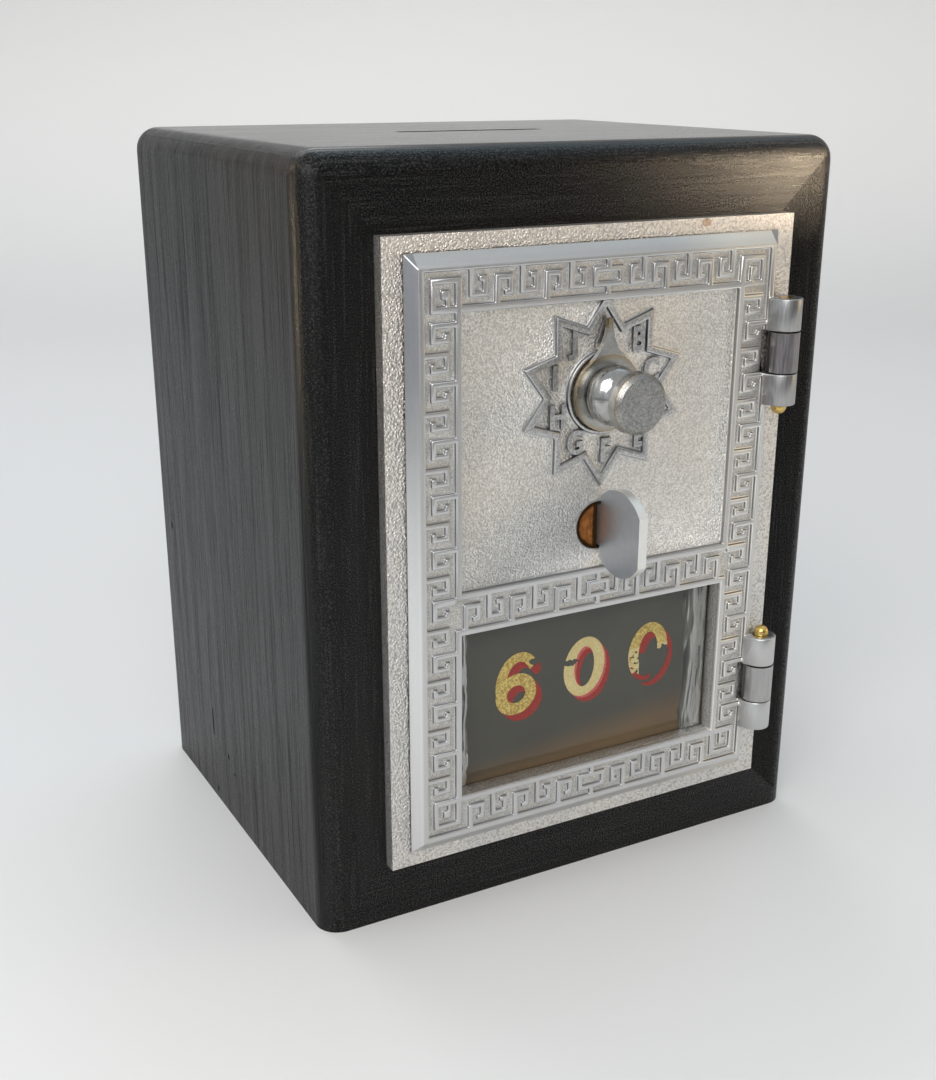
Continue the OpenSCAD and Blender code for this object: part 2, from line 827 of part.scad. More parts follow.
// Places of the corner posts that hold the cover
module post_places() {
    for (x = [post_inset - case_left, case_right - post_inset],
        z = [case_low + post_inset, case_top - post_inset])
        translate([x, 0, z]) children();
}

module lock_case() {
    color(cast) {
        difference() {
            union() {
                block([-case_left, door_back_y, case_low], [case_right, case_end_y, case_top]);
                ear_places() cylinder(r = ear_r, h = ear_t);
                for (z = [case_low + ear_r, case_top - ear_r])
                    block([-case_left - ear_out, door_back_y, z - ear_r],
                        [case_right + ear_out, door_back_y + ear_t, z + ear_r]);
            }
            difference() {
                block([case_t - case_left, case_y, case_low + case_t],
                    [case_right - case_t, through, case_top - case_t]);
                post_places() block([-post_r, case_y - 1, -post_r], [post_r, case_end_y, post_r]);
                bar_y(0, dial_z, case_y - 1, arbor_end_y, arbor_r);
                bar_y(guide_x, bolt_mid, case_y - 1, bolt_end_y + slide_fit, guide_r);
                bar_y(lever_x, lever_z, case_y - 1, lever_y + lever_t + slide_fit + 0.8, lever_post_r);
                block([spring_x - 2.3, case_y - 1, spring_top],
                    [spring_x + 2.3, lever_y + lever_t, spring_top + 2]);
            }
            bar_y(0, dial_z, -through, through, spindle_r + run_fit);
            bar_y(0, latch_z, -through, through, latch_r + run_fit);
            ear_places() cylinder(r = ear_screw_r + tight_fit, h = through, center = true);
            post_places() bar_y(0, 0, case_end_y - cover_screw_len - 0.5, case_end_y + 1,
                cover_screw_r + tight_fit);
            bar_y(guide_x, bolt_mid, bolt_end_y - 1, bolt_end_y + 1, 0.8 + tight_fit);
            block([-through, bolt_y - slide_fit, bolt_low - slide_fit],
                [1 + case_t - case_left, bolt_end_y + slide_fit, bolt_high + slide_fit]);
        }
    }
}

module case_screws() {
    color(steel) ear_places() {
        translate([0, 0, 0.2 - ear_screw_len]) cylinder(r = ear_screw_r, h = ear_t + ear_screw_len);
        difference() {
            translate([0, 0, ear_t]) cylinder(r = 2.3, h = 1.3);
            driver_slot(0.6, ear_t + 0.7, ear_t + 2);
        }
    }
}

module lock_cover() {
    color(brass) difference() {
        block([-case_left, case_end_y, case_low], [case_right, case_end_y + cover_t, case_top]);
        post_places() bar_y(0, 0, case_end_y - 1, through, cover_screw_r + tight_fit);
    }
}

module cover_screws() {
    end_y = case_end_y + cover_t;
    color(steel) post_places() {
        bar_y(0, 0, case_end_y - cover_screw_len, end_y + 0.1, cover_screw_r);
        difference() {
            bar_y(0, 0, end_y, end_y + 1.1, 1.9);
            block([-slot_reach, end_y + 0.6, -0.25], [slot_reach, end_y + 2, 0.25]);
        }
    }
}

module tumbler_spacer() {
    y = front_wheel_y + wheel_t + 0.1;
    color(brass) difference() {
        bar_y(0, dial_z, y, y + wheel_gap - 0.2, arbor_r + 2);
        bar_y(0, dial_z, -through, through, arbor_r + tight_fit);
    }
}

module arbor_clip() {
    y = rear_wheel_y + wheel_t + 0.15;
    color(steel) difference() {
        bar_y(0, dial_z, y, y + 0.7, arbor_r + 1.8);
        bar_y(0, dial_z, -through, through, arbor_r + tight_fit);
    }
}

// A wheel with its gate at the bottom, over the fence
module wheel_disc(y, bore_r) {
    difference() {
        bar_y(0, dial_z, y, y + wheel_t, wheel_r);
        bar_y(0, dial_z, y - 1, y + wheel_t + 1, bore_r);
        block([-gate_w / 2, y - 1, dial_z - wheel_r - 1],
            [gate_w / 2, y + wheel_t + 1, dial_z - wheel_r + gate_d]);
    }
}

// A pick-up pin between two depths, at an angle round the dial axis
module pickup_pin(y1, y2, angle) {
    bar_y(pickup_r * cos(angle), dial_z + pickup_r * sin(angle), y1, y2, pickup_pin_r);
}

module front_tumbler() {
    end = front_wheel_y + wheel_t;
    color(brass) {
        wheel_disc(front_wheel_y, arbor_r + run_fit);
        pickup_pin(end - eps, end + pickup_len, 60);
    }
}

module rear_tumbler() {
    end = rear_wheel_y + wheel_t;
    color(brass) {
        wheel_disc(rear_wheel_y, arbor_r + run_fit);
        pickup_pin(rear_wheel_y - pickup_len, rear_wheel_y + eps, 60 + pickup_step);
        pickup_pin(end - eps, end + pickup_len - 0.1, 150);
    }
}

module drive_wheel() {
    color(brass) {
        wheel_disc(drive_y, spindle_r + tight_fit);
        pickup_pin(drive_y - pickup_len + 0.1, drive_y + eps, 150 + pickup_step);
    }
}

module drive_nut() {
    color(steel) difference() {
        translate([0, drive_end_y + 1.4, dial_z]) rotate([90, 0, 0]) cylinder(r = 4, h = 1.4, $fn = 6);
        bar_y(0, dial_z, -through, through, spindle_r + tight_fit);
    }
}

// The dial

// Knob, neck, bulb, collar and spindle, turned from one bar
module dial_knob() {
    face = pointer_y - knob_h;
    bulb_x = knob_bulb_r - bulb_round;
    neck_in = neck_r - bulb_x;
    neck_out = neck_h - bulb_h;
    hollow_r = (pow(neck_in, 2) + pow(neck_out, 2) - pow(bulb_round, 2)) / (2 * (bulb_round - neck_in));
    hollow = [neck_r + hollow_r, knob_h - neck_h];
    bulb = [bulb_x, knob_h - bulb_h];
    touch = bulb + (hollow - bulb) * bulb_round / (bulb_round + hollow_r);
    back_r = knob_r - head_back;
    front_r = knob_r - head_taper;
    color(cast) translate([0, face, dial_z]) rotate([-90, 0, 0]) {
        rotate_extrude() {
            polygon([[0, 0], [front_r - head_bevel, 0], [front_r, head_bevel],
                [knob_r, knob_rim - head_back], [back_r, knob_rim], [0, knob_rim]]);
            difference() {
                polygon([[0, knob_rim - eps], [back_r, knob_rim - eps], touch, [0, touch[1]]]);
                translate(hollow) circle(hollow_r);
            }
            intersection() {
                translate(bulb) circle(bulb_round);
                area(0, touch[1] - bulb_round, knob_bulb_r, knob_h);
            }
        }
        translate([0, 0, knob_h - eps]) cylinder(r = spindle_r, h = drive_end_y + 1.8 - face - knob_h);
    }
    color(cast) difference() {
        bar_y(0, dial_z, pointer_y + pointer_t, pointer_y + pointer_t + pointer_gap + star_rise - 0.15, 4);
        bar_y(0, dial_z, -through, through, spindle_r - eps);
    }
}

// The pointer plate: a disc whose spike has hollow flanks
module pointer() {
    back = pointer_y + pointer_t;
    flank_z = pointer_len - 0.6;
    flank_r = (pow(flank_z, 2) + pow(pointer_tip, 2) - pow(pointer_r,
        2)) / (2 * (pointer_r - pointer_tip)) - 0.1;
    root_x = pointer_r * 0.76;
    root_z = pointer_r * 0.38;
    color(brass) difference() {
        union() {
            bar_y(0, dial_z, pointer_y, back, pointer_r);
            translate([0, 0, dial_z]) sheet(back, pointer_t)
                polygon([[-root_x, root_z], [-pointer_tip, pointer_len], [pointer_tip, pointer_len],
                    [root_x, root_z]]);
        }
        for (side = [-1, 1])
            bar_y(side * (flank_r + pointer_tip), dial_z + flank_z, pointer_y - 1, back + 1, flank_r);
        bar_y(0, dial_z, -through, through, spindle_r + tight_fit);
    }
}

// The latch

// A flat disc on edge, cut off straight at its front and at the tang
module thumb_tab() {
    in_y = star_y - 0.1;
    color(steel) translate([0, 0, latch_z]) rotate([90, 0, 90]) linear_extrude(tab_t) {
        intersection() {
            translate([face_y - tab_mid, 0]) circle(tab_r);
            area(face_y - tab_out, -tab_r, in_y, tab_r);
        }
        area(in_y - eps, -tang_w / 2, tang_y, tang_w / 2);
    }
}

module latch_spindle() {
    color(brass) difference() {
        union() {
            bar_y(0, latch_z, spindle_face_y, cam_y - slide_fit, latch_r);
            block([-square_r, cam_y - slide_fit - eps, latch_z - square_r],
                [square_r, cam_end_y, latch_z + square_r]);
        }
        block([0, -through, latch_z - latch_r - 1], [latch_r + 1, tang_y, latch_z + latch_r + 1]);
    }
}

module latch_cam() {
    square_hole = square_r + tight_fit;
    color(steel) {
        difference() {
            bar_y(0, latch_z, cam_y, cam_end_y, cam_r);
            block([-square_hole, -through, latch_z - square_hole],
                [square_hole, through, latch_z + square_hole]);
        }
        bar_y(crank_x, latch_z + crank_x, cam_end_y - eps, bolt_end_y, crank_pin_r);
    }
}

module latch_bolt() {
    end_x = crank_x + crank_pin_r + 3.4;
    yoke_w = crank_pin_r + yoke_gap;
    guide_w = guide_r + slide_fit;
    nose = 1.5;
    color(steel) sheet(bolt_end_y, bolt_t) difference() {
        polygon([[bolt_tip_x, bolt_low], [end_x, bolt_low], [end_x, bolt_high],
            [ramp_x + ramp_len / 2, bolt_high], [ramp_x + ramp_len / 2 - ramp_up, bolt_high + ramp_up],
            [ramp_x - ramp_len / 2 + ramp_up, bolt_high + ramp_up], [ramp_x - ramp_len / 2, bolt_high],
            [bolt_tip_x + nose, bolt_high], [bolt_tip_x, bolt_high - nose]]);
        area(crank_x - yoke_w, latch_z + 0.7, crank_x + yoke_w, latch_z + crank_r + crank_pin_r + 0.4);
        area(guide_x, bolt_mid - guide_w, guide_x + bolt_throw, bolt_mid + guide_w);
        for (x = [guide_x, guide_x + bolt_throw])
            translate([x, bolt_mid]) circle(guide_w);
    }
}

module bolt_guide() {
    y = bolt_end_y + slide_fit;
    color(steel) {
        bar_y(guide_x, bolt_mid, y, y + 1, 2.9);
        bar_y(guide_x, bolt_mid, bolt_end_y - 0.7, y + eps, 0.8);
    }
}

module fence_lever() {
    color(steel) difference() {
        union() {
            bar_y(lever_x, lever_z, lever_y, lever_y + lever_t, lever_hub_r);
            block([lever_x, lever_y, lever_z - 1.5], [fence_w / 2, lever_y + lever_t, lever_z + lever_top]);
            block([foot_x - 1, lever_y, lever_z - foot_drop],
                [foot_x + 1, lever_y + lever_t, lever_z - lever_low]);
            block([-fence_w / 2, front_wheel_y - 0.2, lever_z - lever_low],
                [fence_w / 2, drive_end_y + 0.2, dial_z - wheel_r - fence_gap]);
        }
        bar_y(lever_x, lever_z, -through, through, lever_post_r + run_fit);
    }
}

module lever_clip() {
    y = lever_y + lever_t + slide_fit;
    color(steel) difference() {
        bar_y(lever_x, lever_z, y, y + 0.6, 2.6);
        bar_y(lever_x, lever_z, -through, through, lever_post_r + tight_fit);
    }
}

// A coil of round wire: rings of six points along a helix, closed at both ends
module coil(r, wire, turns, length) {
    steps = 20;
    sides = 6;
    n = turns * steps;
    points = [for (i = [0:n], j = [0:sides - 1])
        let (a = 360 * i / steps, b = 360 * j / sides, q = r + wire * cos(b))
        [q * cos(a), q * sin(a), length * i / n + wire * sin(b)]];
    walls = [for (i = [0:n - 1], j = [0:sides - 1])
        let (k = (j + 1) % sides)
        each [[i * sides + j, (i + 1) * sides + j, (i + 1) * sides + k],
            [i * sides + j, (i + 1) * sides + k, i * sides + k]]];
    ends = [[for (j = [0:sides - 1]) j], [for (j = [sides - 1:-1:0]) n * sides + j]];
    polyhedron(points, concat(walls, ends));
}

module lever_spring() {
    low = lever_z + lever_top + wire_r + 0.05;
    color(steel) translate([spring_x, lever_y + lever_t / 2, low])
        coil(spring_r, wire_r, spring_turns, spring_top - low - wire_r - 0.05);
}

left_board();
right_board();
top_board();
bottom_board();
back_panel();
back_screws();
door_frame();
frame_screws();
door();
upper_hinge_pin();
lower_hinge_pin();
window_glass();
glass_retainer();
retainer_screws();
lock_case();
case_screws();
lock_cover();
cover_screws();
tumbler_spacer();
arbor_clip();
dial_knob();
pointer();
drive_wheel();
drive_nut();
front_tumbler();
rear_tumbler();
thumb_tab();
latch_spindle();
latch_cam();
latch_bolt();
bolt_guide();
fence_lever();
lever_clip();
lever_spring();
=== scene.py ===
"""The looks of a coin bank: a small cast post office box door in a mitred, ebonised wooden case.

Everything is in metres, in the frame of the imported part: the front faces -Y and the case stands
on Z = 0.
"""

import math

import bmesh
import bpy
import numpy as np
from mathutils import Matrix, Vector, noise


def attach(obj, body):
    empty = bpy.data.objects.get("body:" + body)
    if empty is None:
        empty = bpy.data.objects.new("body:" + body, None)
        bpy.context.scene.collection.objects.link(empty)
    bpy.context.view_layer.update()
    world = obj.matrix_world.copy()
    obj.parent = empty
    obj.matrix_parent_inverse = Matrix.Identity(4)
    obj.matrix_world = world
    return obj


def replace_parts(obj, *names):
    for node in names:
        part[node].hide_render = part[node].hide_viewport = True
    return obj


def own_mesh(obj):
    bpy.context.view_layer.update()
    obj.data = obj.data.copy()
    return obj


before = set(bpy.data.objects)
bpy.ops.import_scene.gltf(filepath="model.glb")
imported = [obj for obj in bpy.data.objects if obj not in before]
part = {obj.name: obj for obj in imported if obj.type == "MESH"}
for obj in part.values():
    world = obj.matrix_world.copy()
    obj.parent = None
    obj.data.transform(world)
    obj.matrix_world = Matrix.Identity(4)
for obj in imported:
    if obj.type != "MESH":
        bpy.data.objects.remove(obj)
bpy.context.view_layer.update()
mm = 0.001

# The view
# A hand-held picture from the front left, a little above the top of the bank. The print is
# plain, with no film curve over it.
image_w, image_h = 936, 1080
axis_px = (474.99, 565.21)
focal_px = 1394.64
camera_mm, camera_turns = (-151.07, -277.50, 168.44), (70.247, -0.174, -28.749)
camera = bpy.data.objects.new("camera", bpy.data.cameras.new("camera"))
bpy.context.scene.collection.objects.link(camera)
camera.location = [c * mm for c in camera_mm]
camera.rotation_euler = [math.radians(turn) for turn in camera_turns]
camera.data.sensor_width = 36
camera.data.lens = focal_px * camera.data.sensor_width / image_h
camera.data.shift_x = (image_w / 2 - axis_px[0]) / image_h
camera.data.shift_y = (axis_px[1] - image_h / 2) / image_h
camera.data.clip_start = 0.01
bpy.context.scene.camera = camera
bpy.context.scene.view_settings.view_transform = "Standard"
bpy.context.scene.view_settings.look = "None"

# The room
# Two windows, one high behind the bank and one high at the left, in a dim room that is almost
# black to the right of the camera, which is what the wood of the front mirrors.


def add(tree, kind, links=None, **settings):
    """A shader node with its settings made and its inputs linked or set."""
    made = tree.nodes.new("ShaderNode" + kind)
    for key, value in settings.items():
        setattr(made, key, value)
    for key, value in (links or {}).items():
        if isinstance(value, bpy.types.NodeSocket):
            tree.links.new(value, made.inputs[key])
        else:
            made.inputs[key].default_value = value
    return made


def vector_maths(tree, operation, a, b=(0, 0, 0)):
    """One sum on two vectors, as a vector or as the value that it comes to."""
    made = add(tree, "VectorMath", {0: a, 1: b}, operation=operation)
    gives_value = operation in ("DOT_PRODUCT", "DISTANCE", "LENGTH")
    return made.outputs["Value" if gives_value else "Vector"]


def spread(tree, value, low, high, to_low=0.0, to_high=1.0):
    """A value drawn smoothly from one range to another."""
    links = {"Value": value, "From Min": low, "From Max": high}
    links.update({"To Min": to_low, "To Max": to_high})
    return add(tree, "MapRange", links, interpolation_type="SMOOTHSTEP").outputs[0]


def mix(tree, share, a, b, how="MIX"):
    """One colour over another by a share."""
    links = {0: share, 6: a, 7: b}
    return add(tree, "Mix", links, data_type="RGBA", blend_type=how).outputs[2]


def parts_of(tree, vector):
    """The X, Y and Z of a vector."""
    return add(tree, "SeparateXYZ", {0: vector}).outputs


def hang(name, light, where, aim):
    """A light at one place, turned to another."""
    thing = bpy.data.objects.new(name, light)
    bpy.context.scene.collection.objects.link(thing)
    thing.location = where
    thing.rotation_euler = (Vector(aim) - Vector(where)).to_track_quat("-Z", "Y").to_euler()


def lamp(name, size, where, aim, power, colour):
    """An even pane of light, such as a window."""
    light = bpy.data.lights.new(name, "AREA")
    light.shape = "RECTANGLE"
    light.size, light.size_y = size
    light.energy, light.color = power, colour
    hang(name, light, where, aim)


def sunbeam(name, where, aim, degrees, power, colour):
    """A narrow cone of light that is soft toward its edge."""
    light = bpy.data.lights.new(name, "SPOT")
    light.spot_size, light.spot_blend = math.radians(degrees), 1.0
    light.shadow_soft_size = 0.006
    light.energy, light.color = power, colour
    hang(name, light, where, aim)


dark_wall, pale_wall = (0.035, 0.032, 0.03, 1), (0.60, 0.62, 0.63, 1)
window_glow, blue_sky = (0.66, 0.69, 0.72, 1), (1.10, 1.50, 1.75, 1)
toward_window, toward_sky = (-0.85, -0.15, 0.5), (0.55, 0.42, 0.72)
world = bpy.data.worlds.new("room")
bpy.context.scene.world = world
world.use_nodes = True
tree = world.node_tree
toward = add(tree, "TexCoord").outputs["Generated"]
room = mix(tree, spread(tree, parts_of(tree, toward)[2], -0.1, 0.8), dark_wall, pale_wall)
window_side = vector_maths(tree, "DOT_PRODUCT", toward, toward_window)
room = mix(tree, spread(tree, window_side, 0.15, 0.95), room, window_glow)
sky_side = vector_maths(tree, "DOT_PRODUCT", toward, toward_sky)
room = mix(tree, spread(tree, sky_side, 0.88, 0.98), room, blue_sky)
tree.links.new(room, tree.nodes["Background"].inputs["Color"])

bank_middle = (0, 0, 0.07)
lamp("left_window", (0.9, 0.8), (-0.62, -0.80, 0.85), bank_middle, 8.8, (1.0, 0.98, 0.955))
lamp("back_window", (0.8, 0.5), (0.0, 0.62, 0.90), bank_middle, 3.2, (0.97, 0.99, 1.0))

# A low sun from the front right catches the upper right corner of the case and fades along its
# top toward the middle. Two weaker beams from behind catch the upper left corner.
evening_sun = (1.0, 0.80, 0.56)
low_at, above_at = (0.72, -0.80, 0.12), (0.74, -0.72, 0.45)
for aim_x, power in ((0.060, 64.0), (0.048, 36.0), (0.034, 19.0), (0.018, 6.0)):
    sunbeam("low_sun", low_at, (aim_x, -0.05, 0.1545), 2.3, power, evening_sun)
    sunbeam("low_sun_above", above_at, (aim_x, -0.05, 0.1555), 2.0, 0.5 * power, evening_sun)
behind_at, left_at = (-0.75, 0.45, 0.52), (-0.90, 0.36, 0.08)
sunbeam("sun_behind", behind_at, (-0.058, -0.040, 0.148), 5.0, 12.0, (1.0, 0.76, 0.48))
sunbeam("low_sun_left", left_at, (-0.060, -0.045, 0.130), 7.0, 6.0, (1.0, 0.78, 0.5))
lamp("warm_wall", (0.5, 0.3), (0.95, -0.42, 0.25), (0, 0, 0.1), 1.0, (1.0, 0.78, 0.5))

# The paper sweep
# One sheet of pale paper runs under the bank and curves up behind it, far enough away to stay soft.
# Painted shade darkens it toward the camera and out to the left, and it is painted paler far
# behind.


def put(name, mesh, body=None, finish=None, smooth=None):
    """An object that holds this mesh and rides on this body."""
    piece = bpy.data.objects.new(name, mesh)
    bpy.context.scene.collection.objects.link(piece)
    if finish:
        mesh.materials.clear()
        mesh.materials.append(finish)
    if smooth:
        mesh.shade_smooth()
        chosen = {"object": piece, "active_object": piece, "selected_editable_objects": [piece]}
        with bpy.context.temp_override(**chosen):
            bpy.ops.object.shade_smooth_by_angle(angle=math.radians(smooth))
    if body:
        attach(piece, body)
    return piece


def material(name, **values):
    """A material, its node tree and its shader, with these values set on the shader."""
    made = bpy.data.materials.new(name)
    made.use_nodes = True
    shader = made.node_tree.nodes["Principled BSDF"]
    for key, value in values.items():
        shader.inputs[key.replace("_", " ")].default_value = value
    return made, made.node_tree, shader


sweep_near, sweep_far, sweep_rise, sweep_bend, sweep_half_w = -1.6, 1.5, 1.8, 0.9, 2.4
bend_steps = 24
bend_start = sweep_far - sweep_bend
profile = [(sweep_near, 0.0), (bend_start, 0.0)]
for step in range(1, bend_steps + 1):
    a = step / bend_steps * math.pi / 2
    profile.append((bend_start + sweep_bend * math.sin(a), sweep_bend * (1 - math.cos(a))))
profile.append((sweep_far, sweep_rise))
rows = [(x, y, z) for y, z in profile for x in (-sweep_half_w, sweep_half_w)]
quads = [(2 * i, 2 * i + 1, 2 * i + 3, 2 * i + 2) for i in range(len(profile) - 1)]
sheet = bpy.data.meshes.new("paper_sweep")
sheet.from_pydata(rows, [], quads)

paper, tree, shader = material("paper", Roughness=0.75)
lit_grey, mid_grey = (0.82, 0.81, 0.795, 1), (0.66, 0.66, 0.66, 1)
far_lit_white, near_shade_grey = (0.93, 0.91, 0.89, 1), (0.22, 0.22, 0.22, 1)
shade_grey = (0.10, 0.10, 0.10, 1)
shade_middle = (-0.95, -0.30, 0)
# Painted light and shade on the paper: paler far behind, painted shade toward the camera and in a
# pool out to the left
back = parts_of(tree, add(tree, "TexCoord").outputs["Object"])[1]
tone = mix(tree, spread(tree, back, -0.22, 0.14), lit_grey, mid_grey)
tone = mix(tree, spread(tree, back, 0.6, 1.15), tone, far_lit_white)
tone = mix(tree, spread(tree, back, -0.50, -0.22), near_shade_grey, tone)
on_floor = add(tree, "NewGeometry").outputs["Position"]
from_shade = vector_maths(tree, "DISTANCE", on_floor, shade_middle)
tone = mix(tree, spread(tree, from_shade, 0.25, 0.75, 0.75, 0), tone, shade_grey)
tree.links.new(tone, shader.inputs["Base Color"])
sweep = put("paper_sweep", sheet, finish=paper, smooth=60)
sweep.rotation_euler.z = math.radians(-28)

# The wooden case
# Four boards of stained oak, mitred at the corners like a picture frame and glued, with rounded
# outer edges, and a panel let in at the back. They were blackened, waxed and rubbed, so that the
# grain shows as fine pale lines.


def maths(tree, operation, a, b=0.0, clamp=False):
    """One sum on two values."""
    return add(tree, "Math", {0: a, 1: b}, operation=operation, use_clamp=clamp).outputs[0]


def times(tree, a, b):
    return maths(tree, "MULTIPLY", a, b)


def opposite(tree, share):
    return maths(tree, "SUBTRACT", 1.0, share)


def grit(tree, where, scale, detail=2.0, rough=0.5, bend=0.0):
    """Noise of this many grains a metre."""
    links = {"Vector": where, "Scale": scale, "Detail": detail}
    links.update({"Roughness": rough, "Distortion": bend})
    return add(tree, "TexNoise", links).outputs[0]


def place(tree, stretch=(1, 1, 1)):
    """The place on the bank, squeezed or stretched along each axis."""
    here = add(tree, "TexCoord").outputs["Object"]
    return add(tree, "Mapping", {"Vector": here, "Scale": stretch}).outputs[0]


def outward(tree):
    """The X, Y and Z of the direction that a face looks in."""
    return parts_of(tree, add(tree, "NewGeometry").outputs["True Normal"])


def bump(tree, shader, height, depth, strength=1.0):
    """Relief of this depth on the shader's normal."""
    links = {"Height": height, "Distance": depth, "Strength": strength}
    tree.links.new(add(tree, "Bump", links).outputs[0], shader.inputs["Normal"])


def within(tree, value, middle, reach):
    """One where a value lies within this reach of a middle."""
    away = maths(tree, "ABSOLUTE", maths(tree, "SUBTRACT", value, middle))
    return maths(tree, "LESS_THAN", away, reach)


def mark(tree, here, centre, half):
    """One inside an egg of these half widths round a point, falling to nothing at its edge."""
    away = vector_maths(tree, "SUBTRACT", here, centre)
    scaled = vector_maths(tree, "MULTIPLY", away, tuple(1 / h for h in half))
    return spread(tree, vector_maths(tree, "LENGTH", scaled), 0.75, 1.0, 1, 0)


# Worm holes in the left board and one in the front, each a narrow slit along the grain, as its
# centre and its half widths in millimetres. They are painted near black as the shade inside them.
side_x, front_y = -60.5, -50
worm_holes = [
    ((side_x, 16.8, 20.4), (1, 0.55, 4.2)),
    ((side_x, 6.6, 15.4), (1, 0.6, 0.7)),
    ((side_x, 2.9, 12.4), (1, 0.5, 0.6)),
    ((side_x, 16.1, 2.6), (1, 0.6, 0.9)),
    ((side_x, 39.7, 63.1), (1, 0.7, 1.0)),
    ((-53.6, front_y, 21.4), (0.55, 1, 1.2)),
]
chamber_half_w, chamber_low, chamber_top = 41.7 * mm, 18.8 * mm, 136.2 * mm
chamber_front = -49.8 * mm
stain_deep, stain_pale = (0.0015, 0.0015, 0.0018, 1), (0.005, 0.005, 0.005, 1)
stain_line, stain_brown = (0.012, 0.012, 0.012, 1), (0.006, 0.004, 0.003, 1)
stain_fleck, hole_shade_black = (0.024, 0.018, 0.012, 1), (0.0005, 0.0005, 0.0005, 1)
raw_oak, raw_line = (0.23, 0.125, 0.055, 1), (0.30, 0.18, 0.085, 1)


def ebonised(name, along):
    """Blackened wood with its grain along one axis, and bare inside the case."""
    made, tree, shader = material(name, IOR=1.36)
    squeeze = [0.03 if i == along else 1.0 for i in range(3)]
    here = place(tree)
    xyz = parts_of(tree, here)
    pores = grit(tree, place(tree, squeeze), 1500, 3, 0.6, 0.1)
    bands = grit(tree, place(tree, squeeze), 330, 3, 0.6, 0.4)
    grains = grit(tree, here, 3300, 2, 0.6)
    lines = spread(tree, pores, 0.50, 0.66)
    out = outward(tree)
    facing_up = spread(tree, out[2], 0.9, 0.99)
    to_front = spread(tree, times(tree, out[1], -1.0), 0.3, 0.9)
    lined = opposite(tree, times(tree, to_front, 0.95))

    stain = mix(tree, spread(tree, bands, 0.35, 0.7), stain_deep, stain_pale)
    stain = mix(tree, lines, stain, stain_line)
    cloud = spread(tree, grit(tree, here, 22, 2, 0.5), 0.4, 0.75, 0, 0.35)
    stain = mix(tree, cloud, stain, stain_brown)
    flecks = times(tree, spread(tree, grains, 0.58, 0.72), to_front)
    stain = mix(tree, flecks, stain, stain_fleck)
    holes = None
    for centre, half in worm_holes:
        one = mark(tree, here, [c * mm for c in centre], [h * mm for h in half])
        holes = maths(tree, "MAXIMUM", holes, one) if holes else one
    # The worm holes are painted near black, as the shade inside them
    stain = mix(tree, holes, stain, hole_shade_black)
    chamber_mid, chamber_half_h = (chamber_low + chamber_top) / 2, (chamber_top - chamber_low) / 2
    inside = within(tree, xyz[0], 0.0, chamber_half_w)
    inside = times(tree, inside, within(tree, xyz[2], chamber_mid, chamber_half_h))
    bare = times(tree, inside, maths(tree, "GREATER_THAN", xyz[1], chamber_front))
    raw = mix(tree, lines, raw_oak, raw_line)
    tree.links.new(mix(tree, bare, stain, raw), shader.inputs["Base Color"])

    rough = maths(tree, "ADD", spread(tree, grains, 0.3, 0.7, 0.26, 0.38), times(tree, lines, 0.08))
    open_wood = maths(tree, "MAXIMUM", bare, holes)
    rough = maths(tree, "ADD", rough, times(tree, open_wood, 0.4))
    rough = times(tree, rough, spread(tree, facing_up, 0, 1, 1, 0.55))
    rough = times(tree, rough, spread(tree, to_front, 0, 1, 1, 0.72))
    tree.links.new(rough, shader.inputs["Roughness"])

    # The wax shines in bands along the grain, and in scattered specks on the front
    wax = spread(tree, bands, 0.32, 0.68, -0.13, 0.13)
    wax = times(tree, maths(tree, "SUBTRACT", wax, times(tree, lines, 0.14)), lined)
    specks = spread(tree, grains, 0.44, 0.64, -0.26, 0.66)
    if along == 2:
        worn_to_right = spread(tree, xyz[0], 0, 30 * mm, 0, 0.26)
        specks = maths(tree, "SUBTRACT", times(tree, specks, 0.5), worn_to_right)
    wax = maths(tree, "ADD", wax, times(tree, specks, to_front))
    to_side = spread(tree, maths(tree, "ABSOLUTE", out[0]), 0.85, 0.99, 0, 0.07)
    wax = maths(tree, "SUBTRACT", wax, to_side)
    shine = maths(tree, "ADD", wax, 0.44, clamp=True)
    tree.links.new(shine, shader.inputs["Specular IOR Level"])

    relief = maths(tree, "ADD", times(tree, lines, -0.9), times(tree, bands, 0.9))
    relief = times(tree, relief, lined)
    grain_h = spread(tree, to_front, 0, 1, 1.3, 3.2)
    relief = maths(tree, "ADD", relief, times(tree, grains, grain_h))
    relief = times(tree, relief, spread(tree, facing_up, 0, 1, 1, 0.3))
    relief = maths(tree, "SUBTRACT", relief, times(tree, holes, 4.0))
    bump(tree, shader, relief, 0.05 * mm, 0.8)
    return made


upright_grain = ebonised("ebonised_upright", 2)
level_grain = ebonised("ebonised_level", 0)
for name in ("bottom_board", "back_panel"):
    part[name].data.materials[0] = level_grain

# The three upper boards with their top corners sanded round, by cuts along each rounded edge
edge_r = 5 * mm
corner_from = (55.5 * mm, 45 * mm, 150 * mm)
cut_shares = (0, 0.26, 0.5, 0.71, 0.87, 0.97)
upper_boards = {"left_board": upright_grain, "right_board": upright_grain, "top_board": level_grain}
for name, finish in upper_boards.items():
    board = part[name].data.copy()
    work = bmesh.new()
    work.from_mesh(board)
    for axis, start in enumerate(corner_from):
        facing = [float(i == axis) for i in range(3)]
        for way in (-1, 1) if axis < 2 else (1,):
            for share in cut_shares:
                where = [f * way * (start + share * edge_r) for f in facing]
                everything = work.verts[:] + work.edges[:] + work.faces[:]
                bmesh.ops.bisect_plane(
                    work, geom=everything, dist=1e-7, plane_co=where, plane_no=facing
                )
    for v in work.verts:
        past = Vector([max(0, abs(c) - start) for c, start in zip(v.co, corner_from)])
        past.z *= v.co.z > 0
        if min(past) > 0 and past.length > edge_r:
            pulled = past.normalized() * edge_r
            rounded = zip(corner_from, pulled, v.co)
            v.co = [math.copysign(start + d, c) for start, d, c in rounded]
    work.to_mesh(board)
    work.free()
    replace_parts(put(name + "_rounded", board, "case", finish, 40), name)

